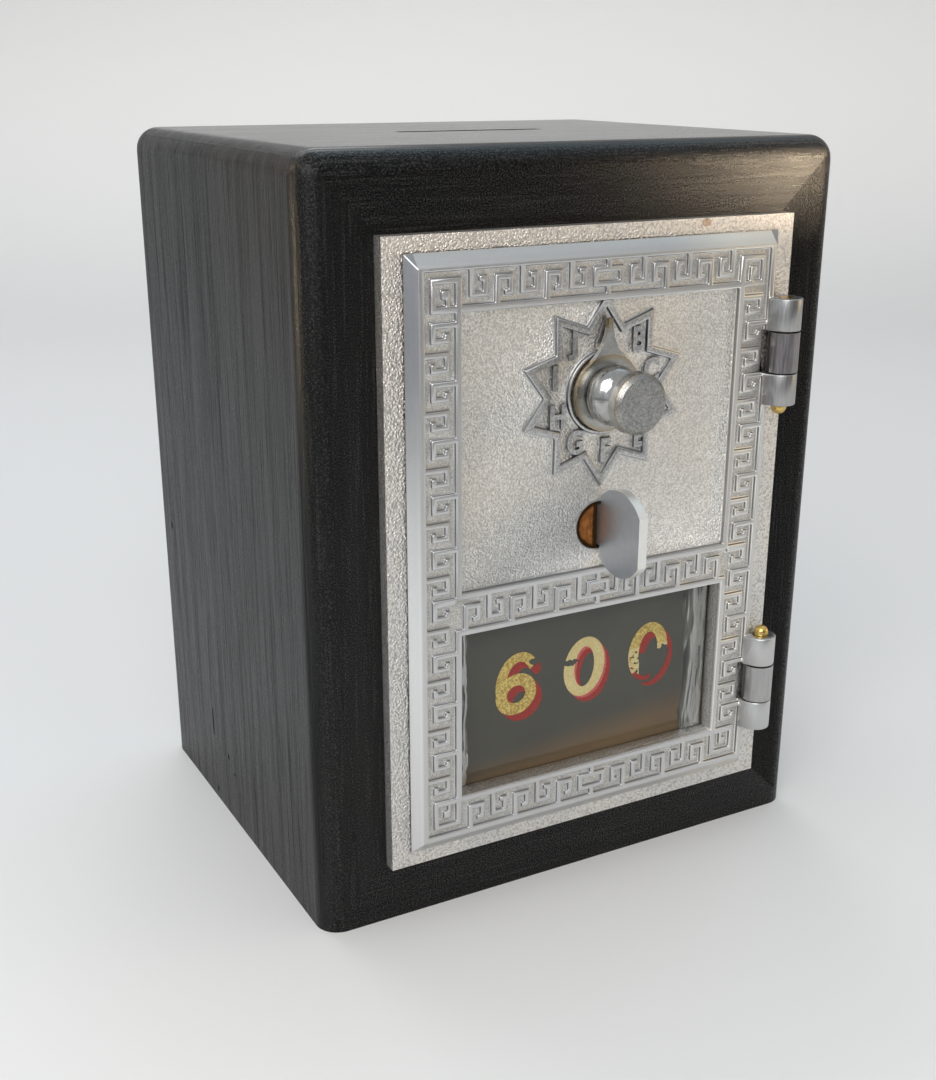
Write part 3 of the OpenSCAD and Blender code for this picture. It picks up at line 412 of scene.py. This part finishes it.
# The door frame
# One casting of white metal. Its flange is stippled all over and lies on the wood, and a sleeve
# behind it is screwed to the boards from inside.
white_metal, warm_metal = (0.82, 0.81, 0.795, 1), (0.90, 0.87, 0.83, 1)
dirt_and_shade = (0.075, 0.072, 0.068, 1)


def stipple(tree, size, sharp):
    """Small round hills like those of a leather or sand finish, this far apart."""
    here = place(tree)
    shift = times(tree, grit(tree, here, 500), 0.0008)
    wander = vector_maths(tree, "ADD", here, shift)
    links = {"Vector": wander, "Scale": 1 / size, "Smoothness": 0.3, "Randomness": 0.9}
    hills = add(tree, "TexVoronoi", links, feature="SMOOTH_F1").outputs["Distance"]
    fine = grit(tree, here, 2.2 / size, 2, 0.6)
    return maths(tree, "ADD", times(tree, hills, -1.0), times(tree, fine, sharp))


def metal_colour(tree, here, clouds):
    """White metal in faint clouds, this many a metre, with painted warm light that yellows it a
    little toward the top.
    """
    cloud = spread(tree, grit(tree, here, clouds, 3), 0.3, 0.75)
    metal = mix(tree, cloud, white_metal, warm_metal)
    # Painted warm light: yellower toward the top, where the low sun falls
    warm_light_toward_top = spread(tree, parts_of(tree, here)[2], 60 * mm, 125 * mm)
    return mix(tree, warm_light_toward_top, metal, (1.03, 0.975, 0.925, 1), "MULTIPLY")


def crevice(tree, reach):
    """How shut in a place is by walls within this reach, from 0 in the open to 1."""
    open_air = add(tree, "AmbientOcclusion", {"Distance": reach}, samples=6).outputs["AO"]
    return maths(tree, "SUBTRACT", 1.0, open_air, clamp=True)


cast, tree, shader = material("cast_flange", Metallic=1.0)
before_flange, between_hinges = -53.05 * mm, 80 * mm
pit_grey, rust_brown = (0.30, 0.295, 0.28, 1), (0.42, 0.20, 0.06, 1)
rust_at, rust_half = (24.3 * mm, -52.9 * mm, 139.3 * mm), (1.3 * mm, 1 * mm, 0.9 * mm)
here = place(tree)
xyz = parts_of(tree, here)
hills = stipple(tree, 0.50 * mm, 0.6)
colour = metal_colour(tree, here, 60)
colour = mix(tree, spread(tree, hills, -0.5, -0.12, 0.48, 0), colour, pit_grey)

# The middle knuckles of the two hinges are turned smooth, and the upper pair is tarnished
barrel = maths(tree, "LESS_THAN", xyz[1], before_flange)
streaks = grit(tree, place(tree, (1, 1, 0.06)), 2600, 2, 0.6)
upper_hinge = maths(tree, "GREATER_THAN", xyz[2], between_hinges)
barrel_tone = mix(tree, upper_hinge, (0.40, 0.40, 0.395, 1), (0.21, 0.195, 0.205, 1))
streak_share = spread(tree, streaks, 0.3, 0.7, 0, 0.25)
barrel_tone = mix(tree, streak_share, barrel_tone, (0.70, 0.69, 0.68, 1))
colour = mix(tree, barrel, colour, barrel_tone)
rust = times(tree, mark(tree, here, rust_at, rust_half), 0.55)
colour = mix(tree, rust, colour, rust_brown)
# Dirt with painted shade in the crevices, darker wherever walls shut a place in
colour = mix(tree, spread(tree, crevice(tree, 1.0 * mm), 0.25, 0.8, 0, 0.8), colour, dirt_and_shade)
tree.links.new(colour, shader.inputs["Base Color"])
stippled_rough = spread(tree, hills, -0.5, 0.1, 0.46, 0.3)
rough = mix(tree, barrel, stippled_rough, spread(tree, streaks, 0.3, 0.7, 0.30, 0.40))
tree.links.new(rough, shader.inputs["Roughness"])
bump(tree, shader, mix(tree, barrel, hills, times(tree, streaks, 0.02)), 0.26 * mm)
part["door_frame"].data.materials[0] = cast

# The door
# A casting of the same metal. Its bevel is draw-filed bright and carries painted light: warm toward
# the right along the top, and a painted reflection down the left. The tops of the key are buffed,
# and the sunk ground of the key and of the field keeps the grain of the sand.
face_y, barrel_x = -55.5 * mm, 42.7 * mm
window_mid, window_half_h, window_half_w = 45.4 * mm, 17.95 * mm, 31.9 * mm
panel_mid, panel_half_h, panel_half_w = 99.15 * mm, 26.8 * mm, 31.4 * mm
side_bevel_from, side_bevel_to = 40.4 * mm, 40.6 * mm
door_cast, tree, shader = material("cast_door", Metallic=1.0)
here = place(tree)
xyz = parts_of(tree, here)
width = maths(tree, "ABSOLUTE", xyz[0])

# Which part of the casting a place belongs to, from its depth behind the face and its slope
facing = times(tree, outward(tree)[1], -1.0)
sunk = spread(tree, xyz[1], face_y + 0.12 * mm, face_y + 0.2 * mm)
below_star = spread(tree, xyz[1], face_y + 0.5 * mm, face_y + 0.6 * mm)
field = spread(tree, xyz[1], face_y + 0.95 * mm, face_y + 1.1 * mm)
proud = maths(tree, "LESS_THAN", xyz[1], face_y - 0.15 * mm)
barrel = maths(tree, "MAXIMUM", proud, maths(tree, "GREATER_THAN", xyz[0], barrel_x))
steep, shallow = maths(tree, "GREATER_THAN", facing, 0.4), maths(tree, "LESS_THAN", facing, 0.93)
bevel = times(tree, times(tree, steep, shallow), opposite(tree, barrel))
# The steep walls of the sunk parts, apart from those round the window, are painted dark as shade
wall = times(tree, maths(tree, "LESS_THAN", facing, 0.45), sunk)
by_window = within(tree, xyz[2], window_mid, window_half_h)
by_window = times(tree, by_window, maths(tree, "LESS_THAN", width, window_half_w))
wall = times(tree, wall, opposite(tree, by_window))
in_panel = maths(tree, "LESS_THAN", width, panel_half_w)
in_panel = times(tree, in_panel, within(tree, xyz[2], panel_mid, panel_half_h))
star = times(tree, in_panel, opposite(tree, field))
top = opposite(tree, sunk)
key_ground = maths(tree, "SUBTRACT", below_star, field, clamp=True)
at_side = spread(tree, width, side_bevel_from, side_bevel_to)

hills = stipple(tree, 0.44 * mm, 0.4)
fine = grit(tree, here, 3600, 3, 0.7)
speck = spread(tree, grit(tree, here, 2400, 2, 0.5), 0.40, 0.62)
scratch = grit(tree, place(tree, (1, 1, 0.05)), 5000, 2, 0.6)
across = grit(tree, place(tree, (0.05, 1, 1)), 5000, 2, 0.6)
filing = mix(tree, at_side, across, scratch)

colour = metal_colour(tree, here, 55)
pits = times(tree, spread(tree, hills, -0.52, -0.14, 0.42, 0), field)
colour = mix(tree, pits, colour, (0.40, 0.385, 0.36, 1))
grime_share = spread(tree, fine, 0.38, 0.66)
grime = mix(tree, grime_share, (0.50, 0.485, 0.46, 1), (0.88, 0.86, 0.82, 1))
colour = mix(tree, times(tree, key_ground, 0.85), colour, grime)
field_tone = mix(tree, speck, (0.63, 0.615, 0.59, 1), (1.0, 0.985, 0.95, 1))
colour = mix(tree, times(tree, field, 0.6), colour, field_tone)
star_tone = mix(tree, speck, (0.34, 0.345, 0.355, 1), (0.60, 0.60, 0.60, 1))
colour = mix(tree, times(tree, star, 0.85), colour, star_tone)
# Painted shade on those steep walls
colour = mix(tree, times(tree, wall, 0.7), colour, (0.15, 0.152, 0.16, 1))
colour = mix(tree, times(tree, top, 0.85), colour, (0.62, 0.62, 0.625, 1))
# The bevel's colour is painted light: along the top it turns warm and bright toward the right,
# where the low sun falls, and down the left side it is a painted reflection, pale below and dark
# toward the top.
to_right = spread(tree, xyz[0], 12 * mm, 34 * mm)
top_bevel_lit = mix(tree, to_right, (0.60, 0.605, 0.61, 1), (0.94, 0.90, 0.82, 1))
to_top = spread(tree, xyz[2], 85 * mm, 128 * mm)
left_bevel_reflection = mix(tree, to_top, (0.74, 0.745, 0.75, 1), (0.34, 0.345, 0.37, 1))
bevel_painted_light = mix(tree, at_side, top_bevel_lit, left_bevel_reflection)
colour = mix(tree, times(tree, bevel, 0.9), colour, bevel_painted_light)
turned = spread(tree, scratch, 0.3, 0.7)
upper_tone = mix(tree, turned, (0.36, 0.36, 0.36, 1), (0.46, 0.455, 0.45, 1))
above_middle = spread(tree, xyz[2], 60 * mm, 80 * mm)
barrel_tone = mix(tree, above_middle, (0.58, 0.58, 0.575, 1), upper_tone)
colour = mix(tree, barrel, colour, barrel_tone)
# Dirt with painted shade in the crevices, darker wherever walls shut a place in
colour = mix(tree, spread(tree, crevice(tree, 1.1 * mm), 0.25, 0.75, 0, 0.8), colour, dirt_and_shade)
tree.links.new(colour, shader.inputs["Base Color"])

buffed, filed = maths(tree, "MAXIMUM", top, star), maths(tree, "MAXIMUM", bevel, barrel)
rough = spread(tree, hills, -0.5, 0.1, 0.46, 0.32)
rough = mix(tree, buffed, rough, spread(tree, fine, 0.3, 0.7, 0.32, 0.42))
rough = mix(tree, bevel, rough, spread(tree, filing, 0.3, 0.7, 0.30, 0.38))
rough = mix(tree, barrel, rough, spread(tree, scratch, 0.3, 0.7, 0.30, 0.40))
tree.links.new(rough, shader.inputs["Roughness"])
relief = mix(tree, field, times(tree, fine, 0.7), hills)
relief = mix(tree, buffed, relief, times(tree, fine, 0.28))
relief = mix(tree, filed, relief, times(tree, filing, 0.015))
bump(tree, shader, relief, 0.19 * mm)

# The casting's sharp edges are cast round. The lowest ground of the side keys and the root of the
# hinge webs give way a little, so that the rounding has room there.
column_end, column_end_clear = 70.816 * mm, 71.30 * mm
web_start, bevel_start = 38.9 * mm, 39.0 * mm
door_mesh = part["door"].data.copy()
work = bmesh.new()
work.from_mesh(door_mesh)
bmesh.ops.remove_doubles(work, verts=work.verts, dist=0.002 * mm)
flat = math.radians(0.6)
bmesh.ops.dissolve_limit(work, angle_limit=flat, verts=work.verts, edges=work.edges)
for corner in work.verts:
    if abs(corner.co.z - column_end) < 0.01 * mm and corner.co.y < face_y + 1 * mm:
        corner.co.z = column_end_clear
    if abs(corner.co.x - web_start) < 0.01 * mm:
        corner.co.x = bevel_start
bmesh.ops.remove_doubles(work, verts=work.verts, dist=0.02 * mm)
work.to_mesh(door_mesh)
work.free()
door_mesh.shade_smooth()
casting = put("door_casting", door_mesh, "door", door_cast)
rounding = casting.modifiers.new("cast_edges", "BEVEL")
rounding.width = 0.26 * mm
rounding.segments = 2
rounding.limit_method = "ANGLE"
rounding.angle_limit = math.radians(32)
rounding.use_clamp_overlap = False
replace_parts(casting, "door")

# The dial letters
# The plain index letters A to J, one inside each point of the star, raised with the casting and
# polished on top like the star. Their places are millimetres out and up from the dial's middle.
dial_z = 108.3 * mm
field_y = face_y + 1.2 * mm
letter_h, letter_rise, letter_narrow = 4.7 * mm, 0.45 * mm, 0.82
capital_share = 0.73
letters = {
    "A": (0, 12.2), "B": (8.0, 9.8), "C": (11.3, 3.3), "D": (11.6, -3.6), "E": (9.0, -9.7),
    "F": (1.0, -11.8), "G": (-6.2, -9.5), "H": (-10.4, -3.9), "I": (-11.1, 3.8), "J": (-7.3, 10.0),
}
for sign, (out, up) in letters.items():
    words = bpy.data.curves.new("letter_" + sign, "FONT")
    words.body = sign
    words.size = letter_h / capital_share
    words.align_x = "CENTER"
    words.offset = 0.19 * mm
    words.extrude = letter_rise / 2
    words.bevel_depth = 0.08 * mm
    words.bevel_resolution = 1
    words.resolution_u = 6
    holder = bpy.data.objects.new("words", words)
    bpy.context.scene.collection.objects.link(holder)
    made = holder.evaluated_get(bpy.context.evaluated_depsgraph_get())
    shape = bpy.data.meshes.new_from_object(made)
    bpy.data.objects.remove(holder)
    centre = Vector((out * mm, field_y - letter_rise / 2, dial_z + up * mm))
    reach = [[end(v.co[i] for v in shape.vertices) for end in (min, max)] for i in (0, 1)]
    narrow = 1.0 if sign in "IJ" else letter_narrow
    shape.transform(Matrix.Translation((-sum(reach[0]) / 2, -sum(reach[1]) / 2, 0)))
    shape.transform(Matrix.Diagonal((narrow, 1, 1, 1)))
    shape.transform(Matrix.Translation(centre) @ Matrix.Rotation(math.radians(90), 4, "X"))
    put("letter_" + sign, shape, "door", door_cast, 35)

# The lock, the pins and the screws
# A cast lock case with brass wheels and steel parts is screwed on behind the field. The hinges
# turn on brass pins, and the sleeve and the back panel are screwed to the wood.


def plain(name, colour, low, high, size=0.4 * mm, wear=0.7):
    """A metal whose colour and roughness vary finely over it, with its colour for more work."""
    made, tree, shader = material(name, Metallic=1.0)
    here = place(tree)
    cloud = spread(tree, grit(tree, here, 0.2 / size, 4, 0.6), 0.3, 0.72)
    dark = tuple(c * wear for c in colour[:3]) + (1,)
    tone = mix(tree, cloud, colour, dark)
    tree.links.new(tone, shader.inputs["Base Color"])
    fine = grit(tree, here, 1 / size, 3, 0.6)
    tree.links.new(spread(tree, fine, 0.3, 0.7, low, high), shader.inputs["Roughness"])
    bump(tree, shader, fine, 0.02 * mm, 0.5)
    return made, tree, shader, tone


brass = plain("aged_brass", (0.66, 0.47, 0.20, 1), 0.28, 0.42)[0]
gilt = plain("bright_brass", (0.80, 0.56, 0.18, 1), 0.2, 0.34)[0]
steel = plain("dull_steel", (0.46, 0.47, 0.48, 1), 0.3, 0.45)[0]
lock_cast = plain("lock_casting", (0.5, 0.5, 0.49, 1), 0.42, 0.55)[0]
finishes = {
    "back_screws": brass, "frame_screws": steel, "upper_hinge_pin": gilt, "lower_hinge_pin": gilt,
    "glass_retainer": steel, "retainer_screws": brass, "lock_case": lock_cast,
    "case_screws": steel, "lock_cover": brass, "cover_screws": steel, "tumbler_spacer": brass,
    "arbor_clip": steel, "drive_wheel": brass, "drive_nut": steel, "front_tumbler": brass,
    "rear_tumbler": brass, "latch_cam": steel, "latch_bolt": steel, "bolt_guide": steel,
    "fence_lever": steel, "lever_clip": steel, "lever_spring": steel,
}
for name, finish in finishes.items():
    part[name].data.materials[0] = finish

# The lever's spring, on a mesh of its own
spring = put("lever_spring_coil", part["lever_spring"].data.copy(), "door", steel)
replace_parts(spring, "lever_spring")
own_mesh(spring)

# The thumb tab
# A flat tab of satin steel, pressed into the slot of its spindle. The cut edge round it is bright
# metal, painted near white as a highlight too.
satin, tree, shader, face_tone = plain(
    "satin_steel", (0.42, 0.44, 0.47, 1), 0.44, 0.50, 0.3 * mm, 0.93
)
broad = maths(tree, "ABSOLUTE", outward(tree)[0])
cut_edge = maths(tree, "LESS_THAN", broad, 0.6)
# The cut edge is painted near white: bright metal with a painted highlight
edge_tone_with_highlight = mix(tree, cut_edge, face_tone, (0.92, 0.92, 0.90, 1))
tree.links.new(edge_tone_with_highlight, shader.inputs["Base Color"])
part["thumb_tab"].data.materials[0] = satin

# The latch spindle
# Old brass gone copper red and streaked, cut to a half round at its front. Dirt and painted shade
# lie dark round its rim and in the gap along the tab.
copper, tree, shader, tone = plain(
    "spindle_brass", (0.72, 0.29, 0.085, 1), 0.36, 0.55, 0.35 * mm, 0.5
)
latch_z, spindle_r = 80.8 * mm, 4.6 * mm
here = place(tree)
from_axis = vector_maths(tree, "SUBTRACT", here, (0, 0, latch_z))
off_axis = vector_maths(tree, "MULTIPLY", from_axis, (1, 0, 1))
radius = vector_maths(tree, "LENGTH", off_axis)
wander = times(tree, maths(tree, "SUBTRACT", grit(tree, here, 700, 3), 0.5), 0.9 * mm)
rim_from, rim_to = spindle_r - 0.75 * mm, spindle_r - 0.15 * mm
rim = spread(tree, maths(tree, "ADD", radius, wander), rim_from, rim_to)
by_tab = maths(tree, "ADD", parts_of(tree, here)[0], wander)
gap = spread(tree, by_tab, -1.3 * mm, -0.8 * mm)
fibres = grit(tree, place(tree, (1, 1, 0.3)), 1500, 3, 0.6)
colour = mix(tree, spread(tree, fibres, 0.35, 0.7, 0, 0.6), tone, (0.30, 0.10, 0.03, 1))
# Dirt and painted shade round the rim and in the gap along the tab
grime_and_shade = times(tree, maths(tree, "MAXIMUM", rim, gap), 0.9)
colour = mix(tree, grime_and_shade, colour, (0.03, 0.018, 0.01, 1))
tree.links.new(colour, shader.inputs["Base Color"])
part["latch_spindle"].data.materials[0] = copper

# The dial knob and its pointer
# Turned and plated brass. The plating is rubbed through to a golden tone along the edges, and the
# knob's face is covered with fine scratches.
nickel, tree, shader = material("worn_nickel", Metallic=1.0)
plate_r, plate_front, knob_front = 7.7 * mm, -56.65 * mm, -67.0 * mm
golden, face_grey = (0.40, 0.30, 0.155, 1), (0.25, 0.245, 0.235, 1)
scratch_grey, polish_and_shade = (0.16, 0.16, 0.155, 1), (0.10, 0.08, 0.05, 1)
here = place(tree)
xyz = parts_of(tree, here)
out_z = maths(tree, "SUBTRACT", xyz[2], dial_z)
squares = [maths(tree, "POWER", out, 2.0) for out in (xyz[0], out_z)]
radius = maths(tree, "SQRT", maths(tree, "ADD", *squares))
cloud = grit(tree, here, 350, 4, 0.6)
wobble = times(tree, maths(tree, "SUBTRACT", cloud, 0.5), 1.2 * mm)
reach = maths(tree, "ADD", radius, wobble)
on_plate = maths(tree, "GREATER_THAN", xyz[1], plate_front)
near_face = maths(tree, "LESS_THAN", xyz[1], knob_front)
on_disc = opposite(tree, maths(tree, "GREATER_THAN", radius, plate_r))
plate_edge = times(tree, spread(tree, reach, 6.3 * mm, plate_r), on_disc)
tip = spread(tree, reach, 11.8 * mm, 13.6 * mm)
worn_plate = times(tree, maths(tree, "MAXIMUM", tip, plate_edge), 0.75)
rim = spread(tree, reach, 5.2 * mm, 5.8 * mm)
worn_rim = times(tree, times(tree, rim, near_face), 0.55)
worn = mix(tree, on_plate, worn_rim, worn_plate)
silver_share = spread(tree, cloud, 0.3, 0.7)
silver = mix(tree, silver_share, (0.38, 0.38, 0.37, 1), (0.50, 0.495, 0.48, 1))
colour = mix(tree, worn, silver, golden)
scores = None
for k, tilt in enumerate((20, 65, 110, 160)):
    links = {"Vector": add(tree, "TexCoord").outputs["Object"]}
    links.update({"Rotation": (0, math.radians(tilt), 0), "Scale": (1, 1, 9)})
    along = add(tree, "Mapping", links, vector_type="TEXTURE").outputs[0]
    lines = spread(tree, grit(tree, along, 5200 + 900 * k, 2, 0.6), 0.54, 0.68)
    scores = maths(tree, "MAXIMUM", scores, lines) if scores else lines
scores = times(tree, scores, spread(tree, near_face, 0, 1, 0.02, 1.0))
dull = spread(tree, grit(tree, here, 2300, 4, 0.75), 0.38, 0.60, 0.0, 0.7)
colour = mix(tree, times(tree, near_face, dull), colour, face_grey)
colour = mix(tree, times(tree, scores, 0.45), colour, scratch_grey)
# Old polish with painted shade, darker in the crevices
colour = mix(tree, spread(tree, crevice(tree, 0.7 * mm), 0.3, 0.85, 0, 0.8), colour, polish_and_shade)
tree.links.new(colour, shader.inputs["Base Color"])
rough = maths(tree, "ADD", spread(tree, cloud, 0.3, 0.7, 0.13, 0.24), times(tree, scores, 0.16))
rough = maths(tree, "ADD", rough, times(tree, on_plate, 0.1))
tree.links.new(rough, shader.inputs["Roughness"])
bump(tree, shader, scores, -0.012 * mm, 0.7)
for name in ("dial_knob", "pointer"):
    part[name].data.materials[0] = nickel

# The window
# A pane of old flat glass, held from behind by a plate. It is tinted dark grey, turning brown
# toward the bottom left, and the ground, wavy edges of the pane show at both sides.
glass, tree, shader = material("window_glass", Roughness=0.04, IOR=1.5)
here = place(tree)
xyz = parts_of(tree, here)
# The pane is tinted dark grey, turning brown toward the bottom left
low_left = maths(tree, "SUBTRACT", xyz[2], times(tree, xyz[0], 0.12))
brown = spread(tree, low_left, 28 * mm, 37 * mm, 1, 0)
film = mix(tree, brown, (0.080, 0.078, 0.064, 1), (0.170, 0.110, 0.055, 1))
tree.links.new(film, shader.inputs["Base Color"])
clear = spread(tree, grit(tree, here, 60, 3), 0.3, 0.7, 0.34, 0.24)
tree.links.new(clear, shader.inputs["Transmission Weight"])
bump(tree, shader, grit(tree, place(tree), 90, 2, 0.5), 0.1 * mm, 0.1)
part["window_glass"].data.materials[0] = glass

# The pane's wavy edges, painted in dark and grey streaks that stand in for what they refract and
# reflect
edge_glass, tree, shader = material("glass_edge", IOR=1.5, Transmission_Weight=0.35, Roughness=0.2)
folds = grit(tree, place(tree, (1, 1, 0.14)), 420, 1.5, 0.5, 0.8)
tone = add(tree, "ValToRGB", {0: folds})
painted_streak_tones = ((0.36, (0.02, 0.022, 0.018, 1)), (0.66, (0.12, 0.12, 0.10, 1)))
for stop, (at, shade) in zip(tone.color_ramp.elements, painted_streak_tones):
    stop.position, stop.color = at, shade
tree.links.new(tone.outputs[0], shader.inputs["Base Color"])
bump(tree, shader, folds, 0.5 * mm)
pane_y = -51.3 * mm
window_low, window_top, end_gap = 27.7 * mm, 63.1 * mm, 0.05 * mm
swell_h, rows_up, rows_across = 0.45 * mm, 90, 14
strips = (
    ("glass_edge_right", 31.65 * mm, 25.6 * mm),
    ("glass_edge_left", -31.65 * mm, -28.5 * mm),
)
for name, x_out, x_in in strips:
    spots = []
    for i in range(rows_up + 1):
        z = window_low + end_gap + (window_top - window_low - 2 * end_gap) * i / rows_up
        ragged = 1.0 * mm * noise.noise(Vector((x_in * 100, 0, z / mm * 0.16)))
        ragged += 0.2 * mm * noise.noise(Vector((x_in * 100, 5, z / mm * 0.7)))
        for j in range(rows_across + 1):
            s = j / rows_across
            x = x_out + (x_in + ragged - x_out) * s
            swell = swell_h * math.sin(math.pi * s) ** 0.6
            swell *= 1 + 0.5 * noise.noise(Vector((x / mm * 0.8, 2, z / mm * 0.22)))
            spots.append((x, pane_y - 0.01 * mm - swell, z))
    wide = rows_across + 1
    faces = [
        (i * wide + j, i * wide + j + 1, (i + 1) * wide + j + 1, (i + 1) * wide + j)
        for i in range(rows_up)
        for j in range(rows_across)
    ]
    shape = bpy.data.meshes.new(name)
    shape.from_pydata(spots, [], faces)
    if x_out < 0:
        shape.flip_normals()
    put(name, shape, "door", edge_glass, 80)

# The numerals
# The box number 6, 0, 0 in flaked gold and cream leaf with a red drop shade, painted on the glass.
# Each colour is a skin of narrow strips that stop wherever the paint has chipped away.

# The numerals' lean, then in millimetres their middles, their outer and inner half widths, where
# the last one turns from cream to gold, and the part of the glass that they all lie in
lean = 0.05
middles = ((-16.6, 47.95), (-0.2, 48.45), (16.2, 48.6))
big, hole = (5.1, 6.7), (2.45, 4.55)
gold_above = 50
picture_x, picture_z = (-24, 24), (37, 58)


def oval(x, z, centre, half, lean=0.0):
    """Below one inside an oval that leans to the right as it rises."""
    u = (x - centre[0] - lean * (z - centre[1])) / half[0]
    v = (z - centre[1]) / half[1]
    return np.sqrt(u * u + v * v)


def nought(x, z, centre, half, hole):
    return (oval(x, z, centre, half, lean) < 1) & (oval(x, z, centre, hole, lean) > 1)


def six(x, z, centre):
    """A closed bowl under a stem that curls over to an open hook."""
    cx, cz = centre
    bowl = nought(x, z, (cx - 0.3, cz - 2.3), (4.85, 4.6), (2.2, 1.95))
    stem = nought(x, z, (cx + 0.2, cz), (5.4, 6.95), (3.0, 4.9))
    hook = z > cz + 1.2 + 0.55 * (x - cx)
    return bowl | (stem & ((x < cx - 1.0) & (z > cz - 3) | hook & (x < cx + 4.1)))


def shape_of(k, x, z):
    """The first, second or third numeral of the box number."""
    return six(x, z, middles[0]) if k == 0 else nought(x, z, middles[k], big, hole)


def shaded(k, x, z, steps):
    """The numeral dragged down to the right by these steps."""
    found = shape_of(k, x, z)
    for s in steps:
        found = found | shape_of(k, x - s, z + 1.1 * s)
    return found


def wear_noise(x, z, seed, scale):
    """Smooth noise between -1 and 1, from a few crossed waves."""
    total = 0
    for k in range(1, 6):
        a = seed * 1.7 + k * 2.1
        along = x * math.cos(a) + z * math.sin(a)
        total = total + np.sin(along * scale * (0.6 + 0.55 * k) + a * 3) / k**0.5
    return total / 2.2


def whole(k, x, z):
    """Where the first or second numeral hasn't lost a bite of its leaf."""
    centre, half = (((-12.4, 52.2), (1.3, 0.8)), ((-3.7, 50.0), (1.9, 0.7)))[k]
    return oval(x, z, centre, half) + 0.25 * wear_noise(x, z, 3, 3) >= 1


def last_leaf(x, z):
    """Where the last numeral still has its leaf: over the top and down the left side."""
    cx, cz = middles[2]
    ragged = 0.8 * wear_noise(x, z, 8, 1.6)
    left = (x < cx - 2.2) & (z + ragged > cz - 4.6) & (wear_noise(x, z, 2, 3) > -0.5)
    return shape_of(2, x, z) & ((z + ragged > cz + 0.6) | left)


def leaf(name, light, dark, low, high):
    """Brittle leaf or paint, broken into light and dark flakes."""
    made, tree, shader = material(name)
    flakes = grit(tree, place(tree), 2600, 3, 0.7)
    tone = mix(tree, spread(tree, flakes, 0.4, 0.62), dark, light)
    tree.links.new(tone, shader.inputs["Base Color"])
    tree.links.new(spread(tree, flakes, 0.3, 0.7, low, high), shader.inputs["Roughness"])
    bump(tree, shader, flakes, 0.06 * mm, 0.6)
    return made


def skin(name, inside, above, finish):
    """Strips of a picture that a rule on x and z gives, this far above the glass."""
    step, y = 0.05, pane_y - above * mm
    xs = np.arange(*picture_x, step / 2)
    spots, faces = [], []
    for z in np.arange(*picture_z, step):
        kept = inside(xs, np.full_like(xs, z)).astype(int)
        jumps = np.flatnonzero(np.diff(np.concatenate(([0], kept, [0]))))
        for start, end in zip(jumps[::2], jumps[1::2]):
            x1, x2 = xs[start] * mm, (xs[end - 1] + step / 2) * mm
            z1, z2 = z * mm, (z + step) * mm
            n = len(spots)
            spots += [(x1, y, z1), (x2, y, z1), (x2, y, z2), (x1, y, z2)]
            faces.append((n, n + 1, n + 2, n + 3))
    shape = bpy.data.meshes.new(name)
    shape.from_pydata(spots, [], faces)
    put(name, shape, "door", finish)


def gold_rule(x, z):
    return (shape_of(0, x, z) & whole(0, x, z)) | (last_leaf(x, z) & (z > gold_above))


def cream_rule(x, z):
    return (shape_of(1, x, z) & whole(1, x, z)) | (last_leaf(x, z) & (z <= gold_above))


def pink_rule(x, z):
    return shaded(1, x, z, (0.25, 0.5)) & whole(1, x, z)


def red_rule(x, z):
    """The drop shades, of which the last has worn to a ring round its lower half."""
    first = shaded(0, x, z, (0.4, 0.8, 1.2, 1.5)) & whole(0, x, z)
    second = shaded(1, x, z, (0.5, 1.0, 1.5)) & whole(1, x, z)
    cx, cz = middles[2]
    from_middle = oval(x, z, middles[2], big, lean)
    last = (shaded(2, x, z, (0.5, 1.0, 1.5)) & ~shape_of(2, x, z)) | last_leaf(x, z)
    lost = (from_middle < 1.10) & (z < cz - 0.2) & ((x > cx - 3.0) | (z < cz - 2.2))
    worn_ring = shape_of(2, x, z) & (z < cz + 1) & (x < cx + 0.8) & (from_middle > 0.84)
    return first | second | (last & ~lost) | worn_ring


gold_leaf = leaf("gold_leaf", (0.60, 0.47, 0.15, 1), (0.30, 0.20, 0.045, 1), 0.3, 0.5)
cream_leaf = leaf("cream_leaf", (0.58, 0.50, 0.26, 1), (0.50, 0.40, 0.17, 1), 0.4, 0.6)
red_paint = leaf("red_paint", (0.30, 0.030, 0.020, 1), (0.22, 0.018, 0.014, 1), 0.35, 0.5)
pink_paint = leaf("pink_paint", (0.50, 0.115, 0.11, 1), (0.40, 0.07, 0.07, 1), 0.4, 0.6)
skin("numeral_gold", gold_rule, 0.05, gold_leaf)
skin("numeral_cream", cream_rule, 0.05, cream_leaf)
skin("numeral_pink", pink_rule, 0.035, pink_paint)
skin("numeral_red", red_rule, 0.02, red_paint)
